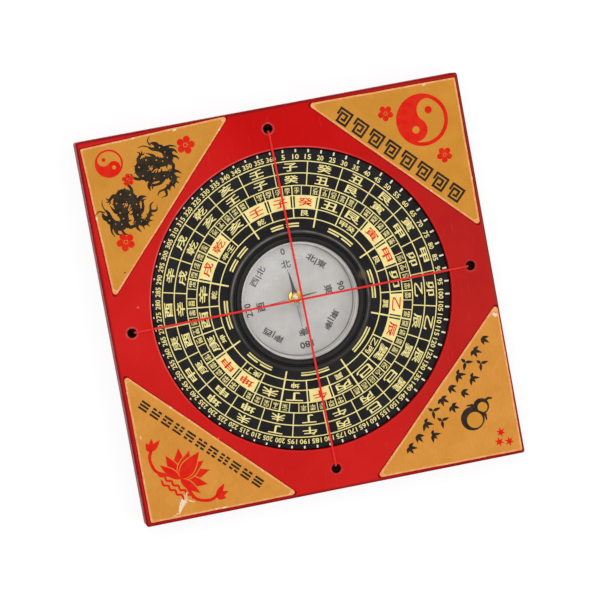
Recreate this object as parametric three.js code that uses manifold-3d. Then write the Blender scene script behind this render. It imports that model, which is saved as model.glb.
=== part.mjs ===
// A small square luopan, the compass that feng shui surveyors use, in millimetres with +Z up.
// A red plate holds a printed dial that turns in a round recess, two red threads cross over it,
// and a glazed capsule at the dial's centre holds a needle on a pivot.
// The origin is at the middle of the underside, +Y is the plate's north side and +X its east side.

import * as THREE from "three";
import { mergeVertices } from "three/addons/utils/BufferGeometryUtils.js";
import Module from "manifold-3d";

// Square plate
const plateSide = 100;
const plateHeight = 8;
const plateCornerRadius = 0.9;
const plateEdge = 0.35;

// Clearances that every fit uses
const restGap = 0.1;
const fitGap = 0.15;
const runGap = 0.3;
const overrun = 1;

// Back cover and its screws
const coverThickness = 1.2;
const coverCornerRadius = 2.5;
const screwInset = 7.5;
const screwHeadRadius = 1.9;
const screwHeadHeight = 0.9;
const screwConeHeight = 0.55;
const screwShankRadius = 0.8;
const screwLength = 5.4;
const screwTipHeight = 0.8;
const screwSink = 0.1;
const slotWidth = 0.5;
const slotDepth = 0.4;

// Turning dial, set in from the plate's sides and below its top
const dialMargin = 11.2;
const dialSink = 1.15;
const recessEdge = 0.25;
const washerThickness = 0.5;
const washerInset = 2;
const discThickness = 1.4;
const discEdge = 0.3;
const faceThickness = 0.3;
const faceMargin = 0.2;

// Capsule that hangs in the dial's middle
const cupRadius = 16.8;
const cupWall = 1.5;
const cupTaper = 0.7;
const cupFloorThickness = 0.6;
const cupFlangeWidth = 0.8;
const cupFlangeThickness = 0.4;
const cupRimWall = 0.45;
const cupEdge = 0.3;
const sealThickness = 0.3;
const glassThickness = 0.8;
const glassDepthInCup = 0.65;
const cardThickness = 0.3;

// Retainer in a pocket below the web that the capsule passes through
const retainerPocketDepth = 1.7;
const retainerPocketMargin = 1;
const thrustWasherThickness = 0.4;
const thrustWasherWidth = 2.2;
const snapRingThickness = 0.5;
const snapRingProud = 1.4;
const snapRingMouthDegrees = 24;
const grooveDepth = 0.6;
const grooveSlack = 0.05;

// Black bezel over the glass, as widths inwards from its rim and heights above the dial's face
const bezelSkirt = 0.75;
const bezelSlopeWidth = 1;
const bezelStepWidth = 0.35;
const bezelCrestWidth = 0.95;
const bezelWallHeight = 0.35;
const bezelStepHeight = 0.6;
const bezelLipThickness = 0.3;

// Needle and its pivot
const needleLength = 13.6;
const needleWidth = 0.9;
const needleThickness = 0.25;
const needleTurnDegrees = 5;
const capHeadroom = 0.75;
const capRadius = 1.8;
const capFlangeHeight = 0.35;
const capBossRadius = 0.8;
const capBossHeight = 0.7;
const capDimpleRadius = 0.5;
const capDimpleDepth = 0.65;
const pivotFootRadius = 1.5;
const pivotFootHeight = 0.4;
const pivotRadius = 0.35;
const pivotConeHeight = 0.7;
const pivotTipRadius = 0.05;

// The pin was set by hand and stands a little off the capsule's middle
const pivotEast = -1.2;
const pivotNorth = 0.6;

// Crossed threads and the holes that they pass through
const holeInset = 5.4;
const holeRadius = 1.2;
const holeMouthWidth = 0.4;
const threadDiameter = 0.6;
const threadBendRadius = 0.8;
const knotRadius = 1.5;
const knotFlatShare = 0.7;
const knotClearance = 0.25;
const knotPocketDepth = 3.2;
const knotPocketMargin = 0.4;

// The holes are drilled by eye, so each thread lies a little off the plate's axis. A layer of 1
// crosses over the other thread and -1 under it, and the turn is counted from east.
const crossThreads = [
  { name: "thread_ew", layer: -1, turnDegrees: 0.4 },
  { name: "thread_ns", layer: 1, turnDegrees: 91 },
];

// Four printed corner sheets, each set down by hand: its two insets are shares of sheetInset
const sheetMargin = 3.1;
const sheetThickness = 0.4;
const sheetInset = 1;
const sheetCornerRadius = 0.3;
const cornerSheets = [
  { name: "corner_plate_nw", east: -1, north: 1, turnDegrees: 2, insetShares: [0.85, 1.7] },
  { name: "corner_plate_ne", east: 1, north: 1, turnDegrees: -0.3, insetShares: [0.8, 1.2] },
  { name: "corner_plate_sw", east: -1, north: -1, turnDegrees: 0, insetShares: [1, 1.05] },
  { name: "corner_plate_se", east: 1, north: -1, turnDegrees: 0.2, insetShares: [0.45, 0.95] },
];

// Facets
const dialFacets = 96;
const poolFacets = 64;
const smallFacets = 20;
const cornerFacets = 3;
const bendFacets = 4;
const threadSides = 8;
const knotFacets = 12;
const mergeDistance = 1e-4;

// Heights of the dial, worked out from the plate's top down
const faceTop = plateHeight - dialSink;
const discTop = faceTop - faceThickness;
const discBottom = discTop - discThickness;
const recessFloor = discBottom - fitGap - washerThickness;
const bezelTop = plateHeight - runGap;

// Heights of the capsule and its retainer
const cupBottom = coverThickness + runGap;
const cupFloorTop = cupBottom + cupFloorThickness;
const sealBottom = discTop - glassDepthInCup;
const glassBottom = sealBottom + sealThickness;
const glassTop = glassBottom + glassThickness;
const pocketCeiling = coverThickness + retainerPocketDepth;
const washerTop = pocketCeiling - fitGap;
const snapRingTop = washerTop - thrustWasherThickness;
const snapRingBottom = snapRingTop - snapRingThickness;

// Heights of the needle, which hangs below the glass
const capTop = glassBottom - capHeadroom;
const capFlangeTop = capTop - capBossHeight;
const capBottom = capFlangeTop - capFlangeHeight;
const pivotTip = capBottom + capDimpleDepth - restGap;

// Radii of the dial, the capsule and what fits round them
const dialRadius = plateSide / 2 - dialMargin;
const faceRadius = dialRadius - faceMargin;
const recessRadius = dialRadius + runGap;
const boreRadius = cupRadius + runGap;
const discBoreRadius = cupRadius + fitGap;
const cupMouthRadius = cupRadius - cupWall;
const cupFloorRadius = cupMouthRadius - cupTaper;
const cardRadius = cupFloorRadius - runGap;
const flangeRadius = cupRadius + cupFlangeWidth;
const flangeSeatRadius = flangeRadius + fitGap;
const faceBoreRadius = flangeSeatRadius + fitGap;
const glassSeatRadius = cupRadius - cupRimWall;
const glassRadius = glassSeatRadius - fitGap;
const bezelRadius = flangeSeatRadius + bezelSkirt;
const grooveRadius = cupRadius - grooveDepth;
const thrustWasherRadius = cupRadius + thrustWasherWidth;
const snapRingRadius = cupRadius + snapRingProud;
const retainerPocketRadius = thrustWasherRadius + retainerPocketMargin;

// Threads, knots and what they set in the plate and the cover
const threadRadius = threadDiameter / 2;
const threadHeight = plateHeight + restGap + threadRadius;
const threadSideways = holeRadius - threadRadius - restGap;
const crossingShift = threadRadius + restGap / 4;
const holeDistance = plateSide / 2 - holeInset;
const holeMouthRadius = holeRadius + holeMouthWidth;
const knotPocketRadius = threadSideways + knotRadius + knotClearance;
const coverHalf = holeDistance + knotPocketRadius + knotPocketMargin;
const screwPlace = plateSide / 2 - screwInset;

const red = { color: 0xc81a1c, roughness: 0.35, metalness: 0 };
const darkRed = { color: 0x8e1416, roughness: 0.6, metalness: 0 };
const gold = { color: 0xd7912d, roughness: 0.4, metalness: 0.2 };
const black = { color: 0x1e1e22, roughness: 0.4, metalness: 0 };
const silver = { color: 0xc9c4c0, roughness: 0.45, metalness: 0.2 };
const steel = { color: 0x9aa0a6, roughness: 0.35, metalness: 0.9 };
const blueSteel = { color: 0x3b4250, roughness: 0.35, metalness: 0.8 };
const brass = { color: 0xd0a040, roughness: 0.3, metalness: 0.9 };
const felt = { color: 0x4a4642, roughness: 0.95, metalness: 0 };
const rubber = { color: 0x26262a, roughness: 0.8, metalness: 0 };
const clear = { color: 0xf2f6f8, roughness: 0.05, metalness: 0, transparent: true, opacity: 0.3 };
const threadRed = { color: 0xe62a38, roughness: 0.7, metalness: 0 };

const wasm = await Module();
wasm.setup();

// A closed geometry as a solid that can be cut and joined
function solidOf(geometry) {
  const bare = geometry.clone();
  bare.deleteAttribute("normal");
  bare.deleteAttribute("uv");
  const merged = mergeVertices(bare, mergeDistance);
  const vertProperties = merged.getAttribute("position").array;
  const triVerts = Uint32Array.from(merged.index.array);
  return new wasm.Manifold(new wasm.Mesh({ numProp: 3, vertProperties, triVerts }));
}

function geometryOf(body) {
  const { vertProperties, triVerts } = body.getMesh();
  const geometry = new THREE.BufferGeometry();
  geometry.setAttribute("position", new THREE.BufferAttribute(vertProperties, 3));
  geometry.setIndex(new THREE.BufferAttribute(triVerts, 1));
  geometry.computeVertexNormals();
  return geometry;
}

function cut(geometry, cutters) {
  let body = solidOf(geometry);
  for (const cutter of cutters) {
    body = body.subtract(solidOf(cutter));
  }
  return geometryOf(body);
}

function join(geometries) {
  let body = solidOf(geometries[0]);
  for (const geometry of geometries.slice(1)) {
    body = body.add(solidOf(geometry));
  }
  return geometryOf(body);
}

// A turned form about Z from [radius, height] points that run outwards along the underside first
function turned(profile, facets) {
  const points = profile.map(([radius, height]) => new THREE.Vector2(radius, height));
  const geometry = new THREE.LatheGeometry(points, facets);
  geometry.rotateX(Math.PI / 2);
  return geometry;
}

function disc(radius, bottom, top, facets) {
  return turned([[0, bottom], [radius, bottom], [radius, top], [0, top]], facets);
}

function ring(inner, outer, bottom, top, facets) {
  const corners = [[inner, bottom], [outer, bottom], [outer, top], [inner, top], [inner, bottom]];
  return turned(corners, facets);
}

function roundedSquare(half, radius) {
  const shape = new THREE.Shape();
  const inner = half - radius;
  shape.absarc(inner, inner, radius, 0, Math.PI / 2);
  shape.absarc(-inner, inner, radius, Math.PI / 2, Math.PI);
  shape.absarc(-inner, -inner, radius, Math.PI, 1.5 * Math.PI);
  shape.absarc(inner, -inner, radius, 1.5 * Math.PI, 2 * Math.PI);
  return shape;
}

function slab(shape, bottom, top, facets) {
  const options = { depth: top - bottom, bevelEnabled: false, curveSegments: facets };
  const geometry = new THREE.ExtrudeGeometry(shape, options);
  geometry.translate(0, 0, bottom);
  return geometry;
}

function onFourCorners(distance, make) {
  return [[1, 1], [-1, 1], [-1, -1], [1, -1]].map(([east, north]) =>
    make().translate(east * distance, north * distance, 0),
  );
}

function atThreadEnds(distance, make) {
  return crossThreads.flatMap(({ turnDegrees }) =>
    [1, -1].map((side) =>
      make().translate(side * distance, 0, 0).rotateZ(THREE.MathUtils.degToRad(turnDegrees)),
    ),
  );
}

// Red plate: recess for the dial, bore for the capsule, thread holes and a rebate for the cover
function basePlate() {
  const shape = roundedSquare(plateSide / 2 - plateEdge, plateCornerRadius);
  const blank = new THREE.ExtrudeGeometry(shape, {
    depth: plateHeight - 2 * plateEdge,
    bevelSize: plateEdge,
    bevelThickness: plateEdge,
    bevelSegments: 1,
    curveSegments: cornerFacets,
  });
  blank.translate(0, 0, plateEdge);
  const recess = turned(
    [
      [0, recessFloor],
      [recessRadius, recessFloor],
      [recessRadius, plateHeight - recessEdge],
      [recessRadius + recessEdge + overrun, plateHeight + overrun],
      [0, plateHeight + overrun],
    ],
    dialFacets,
  );
  const rebateShape = roundedSquare(coverHalf + runGap, coverCornerRadius + runGap);
  const threadHole = () =>
    turned(
      [
        [0, 0],
        [knotPocketRadius, 0],
        [knotPocketRadius, coverThickness + knotPocketDepth],
        [holeRadius, coverThickness + knotPocketDepth],
        [holeRadius, plateHeight - holeMouthWidth],
        [holeMouthRadius + overrun, plateHeight + overrun],
        [0, plateHeight + overrun],
      ],
      smallFacets,
    );
  const pilotTop = screwSink + screwLength + runGap;
  const pilotHole = () => disc(screwShankRadius + fitGap, 0, pilotTop, smallFacets);
  return cut(blank, [
    recess,
    disc(boreRadius, 0, recessFloor + overrun, poolFacets),
    disc(retainerPocketRadius, 0, pocketCeiling, poolFacets),
    slab(rebateShape, -overrun, coverThickness, cornerFacets),
    ...atThreadEnds(holeDistance, threadHole),
    ...onFourCorners(screwPlace, pilotHole),
  ]);
}

// Countersunk outline that the screw head and the cover's hole share, from the underside up
function countersink(headRadius, shankRadius, bottom) {
  return [
    [headRadius, bottom],
    [headRadius, bottom + screwHeadHeight - screwConeHeight],
    [shankRadius, bottom + screwHeadHeight],
  ];
}

function backCover() {
  const sheet = slab(roundedSquare(coverHalf, coverCornerRadius), 0, coverThickness, cornerFacets);
  const outline = countersink(screwHeadRadius + fitGap, screwShankRadius + fitGap, screwSink);
  const seat = () =>
    turned(
      [
        [0, -overrun],
        [screwHeadRadius + fitGap, -overrun],
        ...outline,
        [screwShankRadius + fitGap, coverThickness + overrun],
        [0, coverThickness + overrun],
      ],
      smallFacets,
    );
  return cut(sheet, onFourCorners(screwPlace, seat));
}

function coverScrew() {
  const tipBottom = screwSink + screwLength - screwTipHeight;
  const blank = turned(
    [
      [0, screwSink],
      ...countersink(screwHeadRadius, screwShankRadius, screwSink),
      [screwShankRadius, tipBottom],
      [0, screwSink + screwLength],
    ],
    smallFacets,
  );
  const slot = new THREE.BoxGeometry(2 * screwHeadRadius + overrun, slotWidth, 2 * slotDepth);
  slot.translate(0, 0, screwSink);
  return cut(blank, [slot]);
}

// Right-angled sheet whose square corner is at the origin and whose legs run along +X and +Y
function cornerSheet() {
  const squareSide = plateSide - 2 * sheetInset;
  const sheetLeg = squareSide - Math.SQRT2 * (recessRadius + sheetMargin);
  const leg = sheetLeg - sheetCornerRadius;
  const shape = new THREE.Shape();
  shape.moveTo(sheetCornerRadius, 0);
  shape.lineTo(leg, 0);
  shape.lineTo(leg, sheetCornerRadius);
  shape.lineTo(sheetCornerRadius, leg);
  shape.lineTo(0, leg);
  shape.lineTo(0, sheetCornerRadius);
  shape.absarc(sheetCornerRadius, sheetCornerRadius, sheetCornerRadius, Math.PI, 1.5 * Math.PI);
  return slab(shape, 0, sheetThickness, cornerFacets);
}

function dialDisc() {
  const seatHeight = discTop - cupFlangeThickness;
  return turned(
    [
      [discBoreRadius, discBottom],
      [dialRadius - discEdge, discBottom],
      [dialRadius, discBottom + discEdge],
      [dialRadius, discTop - discEdge / 2],
      [dialRadius - discEdge / 2, discTop],
      [flangeSeatRadius, discTop],
      [flangeSeatRadius, seatHeight],
      [discBoreRadius, seatHeight],
      [discBoreRadius, discBottom],
    ],
    dialFacets,
  );
}

function capsuleCup() {
  return turned(
    [
      [0, cupBottom],
      [grooveRadius, cupBottom],
      [cupRadius, cupBottom + cupEdge / 2],
      [cupRadius, snapRingBottom - grooveSlack],
      [grooveRadius, snapRingBottom - grooveSlack],
      [grooveRadius, snapRingTop + grooveSlack],
      [cupRadius, snapRingTop + grooveSlack],
      [cupRadius, discTop - cupFlangeThickness],
      [flangeRadius, discTop - cupFlangeThickness],
      [flangeRadius, discTop],
      [glassSeatRadius, discTop],
      [glassSeatRadius, sealBottom],
      [cupMouthRadius, sealBottom],
      [cupFloorRadius, cupFloorTop + cupEdge],
      [cupFloorRadius - cupEdge / 2, cupFloorTop],
      [0, cupFloorTop],
    ],
    poolFacets,
  );
}

function bezelRing() {
  const boreRadiusAtGlass = glassRadius + fitGap;
  const stepRadius = bezelRadius - bezelSlopeWidth;
  const crestRadius = stepRadius - bezelStepWidth;
  return turned(
    [
      [boreRadiusAtGlass, discTop],
      [flangeSeatRadius, discTop],
      [flangeSeatRadius, faceTop],
      [bezelRadius, faceTop],
      [bezelRadius, faceTop + bezelWallHeight],
      [stepRadius, faceTop + bezelStepHeight],
      [crestRadius, bezelTop],
      [crestRadius - bezelCrestWidth, bezelTop],
      [cupMouthRadius, glassTop + bezelLipThickness],
      [cupMouthRadius, glassTop],
      [boreRadiusAtGlass, glassTop],
      [boreRadiusAtGlass, discTop],
    ],
    poolFacets,
  );
}

function snapRing() {
  const half = THREE.MathUtils.degToRad(snapRingMouthDegrees / 2);
  const shape = new THREE.Shape();
  shape.absarc(0, 0, snapRingRadius, half, 2 * Math.PI - half, false);
  shape.absarc(0, 0, grooveRadius + fitGap, 2 * Math.PI - half, half, true);
  return slab(shape, snapRingBottom, snapRingTop, poolFacets / 2);
}

// Printed sheet on the cup's floor, with a bore for the pin's foot
function compassCard() {
  const cardTop = cupFloorTop + cardThickness;
  const bore = disc(pivotFootRadius + fitGap, cupFloorTop - overrun, cardTop + overrun, smallFacets);
  bore.translate(pivotEast, pivotNorth, 0);
  return cut(disc(cardRadius, cupFloorTop, cardTop, poolFacets), [bore]);
}

function pivotPin() {
  const coneBottom = pivotTip - pivotConeHeight;
  return turned(
    [
      [0, cupFloorTop],
      [pivotFootRadius, cupFloorTop],
      [pivotFootRadius, cupFloorTop + pivotFootHeight],
      [pivotRadius, cupFloorTop + pivotFootHeight],
      [pivotRadius, coneBottom],
      [pivotTipRadius, pivotTip],
      [0, pivotTip],
    ],
    smallFacets,
  );
}

function needleCap() {
  return turned(
    [
      [0, capBottom + capDimpleDepth],
      [capDimpleRadius, capBottom],
      [capRadius - capFlangeHeight / 2, capBottom],
      [capRadius, capBottom + capFlangeHeight / 2],
      [capRadius, capFlangeTop],
      [capBossRadius, capFlangeTop],
      [capBossRadius, capTop - capBossRadius / 2],
      [capBossRadius / 2, capTop],
      [0, capTop],
    ],
    smallFacets,
  );
}

// Slender lozenge with a round hole for the cap's boss, laid on the cap's flange
function needleBlade() {
  const shape = new THREE.Shape();
  const eyeRadius = capBossRadius + restGap;
  const eyeRim = eyeRadius + needleWidth / 2;
  const halfNeck = Math.asin(needleWidth / 2 / eyeRim);
  shape.absarc(0, 0, eyeRim, Math.PI / 2 + halfNeck, 1.5 * Math.PI - halfNeck, false);
  shape.lineTo(0, -needleLength / 2);
  shape.absarc(0, 0, eyeRim, 1.5 * Math.PI + halfNeck, 2.5 * Math.PI - halfNeck, false);
  shape.lineTo(0, needleLength / 2);
  shape.closePath();
  const eye = new THREE.Path();
  eye.absarc(0, 0, eyeRadius, 0, 2 * Math.PI, true);
  shape.holes.push(eye);
  return slab(shape, capFlangeTop, capFlangeTop + needleThickness, smallFacets / 2);
}

// Route of a thread from point to point, with a ring of the tube at each of them
class ThreadRoute extends THREE.Curve {
  constructor(points) {
    super();
    this.points = points;
  }

  getPoint(t) {
    const place = Math.min(Math.max(t, 0), 1) * (this.points.length - 1);
    const index = Math.min(Math.floor(place), this.points.length - 2);
    return this.points[index].clone().lerp(this.points[index + 1], place - index);
  }

  getPointAt(u) {
    return this.getPoint(u);
  }

  getTangentAt(u) {
    return this.getTangent(u);
  }
}

// One thread: up through a hole, over its mouth, across, and down to a knot under the other side
function thread(shiftAtCrossing) {
  const holeSide = holeDistance - threadSideways;
  const knotHeight = coverThickness + knotPocketDepth - fitGap - knotRadius * knotFlatShare;
  const halfRoute = [new THREE.Vector3(holeSide, 0, knotHeight)];
  for (let step = 0; step <= bendFacets; step++) {
    const angle = ((step / bendFacets) * Math.PI) / 2;
    const along = holeSide - threadBendRadius * (1 - Math.cos(angle));
    const up = threadHeight - threadBendRadius * (1 - Math.sin(angle));
    halfRoute.push(new THREE.Vector3(along, 0, up));
  }
  const crossing = new THREE.Vector3(0, 0, threadHeight + shiftAtCrossing);
  const mirrored = halfRoute.map((point) => new THREE.Vector3(-point.x, 0, point.z)).reverse();
  const points = [...halfRoute, crossing, ...mirrored];
  const section = new THREE.Shape();
  section.absarc(0, 0, threadRadius, 0, 2 * Math.PI, false);
  const tube = new THREE.ExtrudeGeometry(section, {
    extrudePath: new ThreadRoute(points),
    steps: points.length - 1,
    curveSegments: threadSides,
  });
  const knots = [1, -1].map((side) => {
    const knot = new THREE.SphereGeometry(knotRadius, knotFacets, knotFacets / 2);
    knot.scale(1, 1, knotFlatShare);
    return knot.translate(side * holeSide, 0, knotHeight);
  });
  return join([tube, ...knots]);
}

function part(parent, name, geometry, finish) {
  const mesh = new THREE.Mesh(geometry, new THREE.MeshStandardMaterial(finish));
  mesh.name = name;
  parent.add(mesh);
  return mesh;
}

const compass = new THREE.Group();

part(compass, "base_plate", basePlate(), red);
part(compass, "back_cover", backCover(), darkRed);
for (const [side, east, north] of [["ne", 1, 1], ["nw", -1, 1], ["sw", -1, -1], ["se", 1, -1]]) {
  const screw = part(compass, "cover_screw_" + side, coverScrew(), steel);
  screw.position.set(east * screwPlace, north * screwPlace, 0);
}
for (const { name, east, north, turnDegrees, insetShares } of cornerSheets) {
  const sheet = part(compass, name, cornerSheet(), gold);
  const [insetEast, insetNorth] = insetShares.map((share) => share * sheetInset);
  const half = plateSide / 2;
  sheet.position.set(east * (half - insetEast), north * (half - insetNorth), plateHeight);
  const squareCorner = Math.atan2(-north, -east) - Math.PI / 4;
  sheet.rotation.z = squareCorner + THREE.MathUtils.degToRad(turnDegrees);
}
const washerOuter = dialRadius - washerInset;
const washerInner = boreRadius + washerInset;
const washerRing = ring(washerInner, washerOuter, recessFloor, recessFloor + washerThickness, poolFacets);
part(compass, "dial_washer", washerRing, felt);
for (const { name, layer, turnDegrees } of crossThreads) {
  const cord = part(compass, name, thread(layer * crossingShift), threadRed);
  cord.rotation.z = THREE.MathUtils.degToRad(turnDegrees);
}

const dial = new THREE.Group();
compass.add(dial);
part(dial, "dial_disc", dialDisc(), black);
part(dial, "dial_face", ring(faceBoreRadius, faceRadius, discTop, faceTop, dialFacets), black);
part(dial, "capsule_cup", capsuleCup(), silver);
part(dial, "compass_card", compassCard(), silver);
part(dial, "pivot_pin", pivotPin(), brass).position.set(pivotEast, pivotNorth, 0);
part(dial, "glass_seal", ring(cupMouthRadius, glassRadius, sealBottom, glassBottom, poolFacets), rubber);
part(dial, "cover_glass", disc(glassRadius, glassBottom, glassTop, poolFacets), clear);
part(dial, "bezel_ring", bezelRing(), black);
const thrustInner = cupRadius + fitGap;
const thrustRing = ring(thrustInner, thrustWasherRadius, snapRingTop, washerTop, poolFacets);
part(dial, "thrust_washer", thrustRing, brass);
part(dial, "snap_ring", snapRing(), steel);

const needle = new THREE.Group();
needle.position.set(pivotEast, pivotNorth, 0);
needle.rotation.z = THREE.MathUtils.degToRad(needleTurnDegrees);
dial.add(needle);
part(needle, "needle", needleBlade(), blueSteel);
part(needle, "needle_cap", needleCap(), brass);

export default compass;
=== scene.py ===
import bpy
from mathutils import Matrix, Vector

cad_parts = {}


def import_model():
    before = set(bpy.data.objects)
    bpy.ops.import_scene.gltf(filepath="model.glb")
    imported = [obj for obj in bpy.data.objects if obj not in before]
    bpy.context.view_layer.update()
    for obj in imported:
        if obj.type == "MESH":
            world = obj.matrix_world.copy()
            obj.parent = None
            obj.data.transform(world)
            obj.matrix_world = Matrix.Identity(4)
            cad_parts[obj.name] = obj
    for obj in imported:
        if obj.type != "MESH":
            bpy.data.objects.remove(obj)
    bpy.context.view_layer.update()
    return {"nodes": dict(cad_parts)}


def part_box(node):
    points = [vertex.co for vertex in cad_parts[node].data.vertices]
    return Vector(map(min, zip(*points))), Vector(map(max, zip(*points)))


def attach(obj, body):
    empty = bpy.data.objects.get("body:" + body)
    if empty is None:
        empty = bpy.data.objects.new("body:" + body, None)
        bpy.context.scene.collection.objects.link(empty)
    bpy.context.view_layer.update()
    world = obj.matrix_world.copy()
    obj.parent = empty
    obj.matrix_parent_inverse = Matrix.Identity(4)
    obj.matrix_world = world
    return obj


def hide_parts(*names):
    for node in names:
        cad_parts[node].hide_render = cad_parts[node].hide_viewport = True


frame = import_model()

import math

import bpy
from mathutils import Matrix, Vector
from mathutils.geometry import delaunay_2d_cdt

# Lengths are in millimetres and become metres where a mesh is made.
MM = 0.001

# Steps that round forms are made of
TURN_STEPS = 192
SMALL_STEPS = 48
EDGE_STEPS = 4
CORNER_STEPS = 8
SHARP_ANGLE = 32
# A rounded corner may take up this share of each edge beside it
EDGE_SHARE = 0.48


# Places from the frame


def low_of(node):
    return [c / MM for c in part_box(node)[0]]


def high_of(node):
    return [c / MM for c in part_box(node)[1]]


plate_half = high_of("base_plate")[0]
plate_top = high_of("base_plate")[2]
cover_half = high_of("back_cover")[0]
cover_top = high_of("back_cover")[2]
disc_bottom, disc_top = low_of("dial_disc")[2], high_of("dial_disc")[2]
disc_radius = high_of("dial_disc")[0]
face_top = high_of("dial_face")[2]
face_radius = high_of("dial_face")[0]
sheet_top = high_of("corner_plate_ne")[2]
card_radius = high_of("compass_card")[0]
card_bottom, card_top = low_of("compass_card")[2], high_of("compass_card")[2]
cup_bottom = low_of("capsule_cup")[2]
glass_radius = high_of("cover_glass")[0]
glass_bottom, glass_top = low_of("cover_glass")[2], high_of("cover_glass")[2]
bezel_radius = high_of("bezel_ring")[0]
bezel_top = high_of("bezel_ring")[2]
cap_bottom, cap_top = low_of("needle_cap")[2], high_of("needle_cap")[2]
cap_radius = (high_of("needle_cap")[0] - low_of("needle_cap")[0]) / 2
blade_bottom, blade_top = low_of("needle")[2], high_of("needle")[2]
pin_bottom, pin_top = low_of("pivot_pin")[2], high_of("pivot_pin")[2]
pivot_east = (low_of("pivot_pin")[0] + high_of("pivot_pin")[0]) / 2
pivot_north = (low_of("pivot_pin")[1] + high_of("pivot_pin")[1]) / 2


# Mesh making


def made_mesh(name, solid, unit=MM):
    mesh = bpy.data.meshes.new(name)
    mesh.from_pydata([[c * unit for c in point] for point in solid[0]], [], solid[1])
    mesh.update()
    return mesh


def shown_object(name, data):
    made = bpy.data.objects.new(name, data)
    bpy.context.scene.collection.objects.link(made)
    return made


def final_mesh(holder):
    """The mesh that an object shows, with its modifiers"""
    shown = holder.evaluated_get(bpy.context.evaluated_depsgraph_get())
    return bpy.data.meshes.new_from_object(shown)


def as_solid(mesh):
    return [list(v.co) for v in mesh.vertices], [list(p.vertices) for p in mesh.polygons]


def as_piece(name, solid, materials, body, replaced=(), sharp=SHARP_ANGLE, second=()):
    """One object from points and faces; the faces numbered in second take the second material"""
    mesh = made_mesh(name, solid)
    for material in materials:
        mesh.materials.append(material)
    for index in second:
        mesh.polygons[index].material_index = 1
    mesh.shade_smooth()
    mesh.set_sharp_from_angle(angle=math.radians(sharp))
    piece = shown_object(name, mesh)
    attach(piece, body)
    if replaced:
        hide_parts(*replaced)
    return piece


def joined(solids):
    points, faces = [], []
    for more_points, more_faces in solids:
        start = len(points)
        points += more_points
        faces += [[start + index for index in face] for face in more_faces]
    return points, faces


def set_down(east, north, turn):
    """A function that places local points, turned counter-clockwise by degrees"""
    cos, sin = math.cos(math.radians(turn)), math.sin(math.radians(turn))
    return lambda x, y: (x * cos - y * sin + east, x * sin + y * cos + north)


def along_bearing(east, north, bearing):
    """A function that places points by how far along and to the right of a bearing they lie"""
    put = set_down(east, north, -bearing)
    return lambda along, across=0: put(across, along)


def moved(solid, east=0, north=0, turn=0):
    put = set_down(east, north, turn)
    points, faces = solid
    return [[*put(x, y), z] for x, y, z in points], faces


def quarter_round(radius, steps=EDGE_STEPS):
    """Insets from the two faces beside an edge that is rounded by radius"""
    angles = [math.pi / 2 * step / steps for step in range(steps + 1)]
    return [(radius * (1 - math.sin(a)), radius * (1 - math.cos(a))) for a in angles]


def round_points(east, north, radius, steps):
    angles = [2 * math.pi * step / steps for step in range(steps)]
    return [(east + radius * math.cos(a), north + radius * math.sin(a)) for a in angles]


def eased(corners, closed=False):
    """An outline from (across, along, radius) corners, each rounded by its radius"""
    outline = []
    count = len(corners)
    for index, (px, py, radius) in enumerate(corners):
        end = not closed and index in (0, count - 1)
        if radius == 0 or end:
            outline.append((px, py))
            continue
        here = Vector((px, py))
        before = Vector(corners[index - 1][:2]) - here
        after = Vector(corners[(index + 1) % count][:2]) - here
        half = before.angle(after) / 2
        reach = min(radius / math.tan(half), *(EDGE_SHARE * edge.length for edge in (before, after)))
        true_radius = reach * math.tan(half)
        middle = here + (before.normalized() + after.normalized()).normalized() * (
            true_radius / math.sin(half)
        )
        start = here + before.normalized() * reach - middle
        stop = here + after.normalized() * reach - middle
        swing = start.angle_signed(stop)
        for step in range(EDGE_STEPS + 1):
            part = start.copy()
            part.rotate(Matrix.Rotation(-swing * step / EDGE_STEPS, 2))
            outline.append(tuple(middle + part))
    return outline


def lathe(outline, steps=TURN_STEPS, closed=True):
    """A turned form from (radius, height) points that run outwards along the underside first"""
    points, faces, rows = [], [], []
    for radius, height in outline:
        if radius < 1e-6:
            rows.append([len(points)] * steps)
            points.append([0, 0, height])
            continue
        rows.append(list(range(len(points), len(points) + steps)))
        for step in range(steps):
            angle = 2 * math.pi * step / steps
            points.append([radius * math.cos(angle), radius * math.sin(angle), height])
    pairs = list(zip(rows, rows[1:]))
    if closed:
        pairs.append((rows[-1], rows[0]))
    for low, high in pairs:
        for step in range(steps):
            after = (step + 1) % steps
            face = [low[step], low[after], high[after], high[step]]
            face = [v for i, v in enumerate(face) if v != face[i - 1]]
            if len(face) > 2:
                faces.append(face)
    return points, faces


def loft(loops, ring=False):
    """Skin over closed loops of equal length, capped at both ends, or joined end to end"""
    size = len(loops[0])
    points = [list(point) for loop in loops for point in loop]
    faces = []
    last = len(loops) if ring else len(loops) - 1
    for row in range(last):
        low, high = row * size, (row + 1) % len(loops) * size
        for step in range(size):
            after = (step + 1) % size
            faces.append([low + step, low + after, high + after, high + step])
    if not ring:
        faces.append(list(range(size))[::-1])
        faces.append([(len(loops) - 1) * size + step for step in range(size)])
    return points, faces


def square_loop(half, radius, height):
    loop = []
    for quarter in range(4):
        for step in range(CORNER_STEPS + 1):
            angle = math.radians(90 * quarter + 90 * step / CORNER_STEPS)
            east = 1 if quarter in (0, 3) else -1
            north = 1 if quarter < 2 else -1
            loop.append([
                east * (half - radius) + radius * math.cos(angle),
                north * (half - radius) + radius * math.sin(angle),
                height,
            ])
    return loop


def eased_square(half, corner_radius, bottom, top, edge):
    """A square slab with round corners and round edges"""
    rows = [(inset, bottom + rise) for inset, rise in quarter_round(edge)]
    rows += [(inset, top - drop) for drop, inset in quarter_round(edge)]
    return loft([square_loop(half - inset, corner_radius - inset, z) for inset, z in rows])


def level_corners(half_east, half_north, height):
    return [[-half_east, -half_north, height], [half_east, -half_north, height],
            [half_east, half_north, height], [-half_east, half_north, height]]


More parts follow.
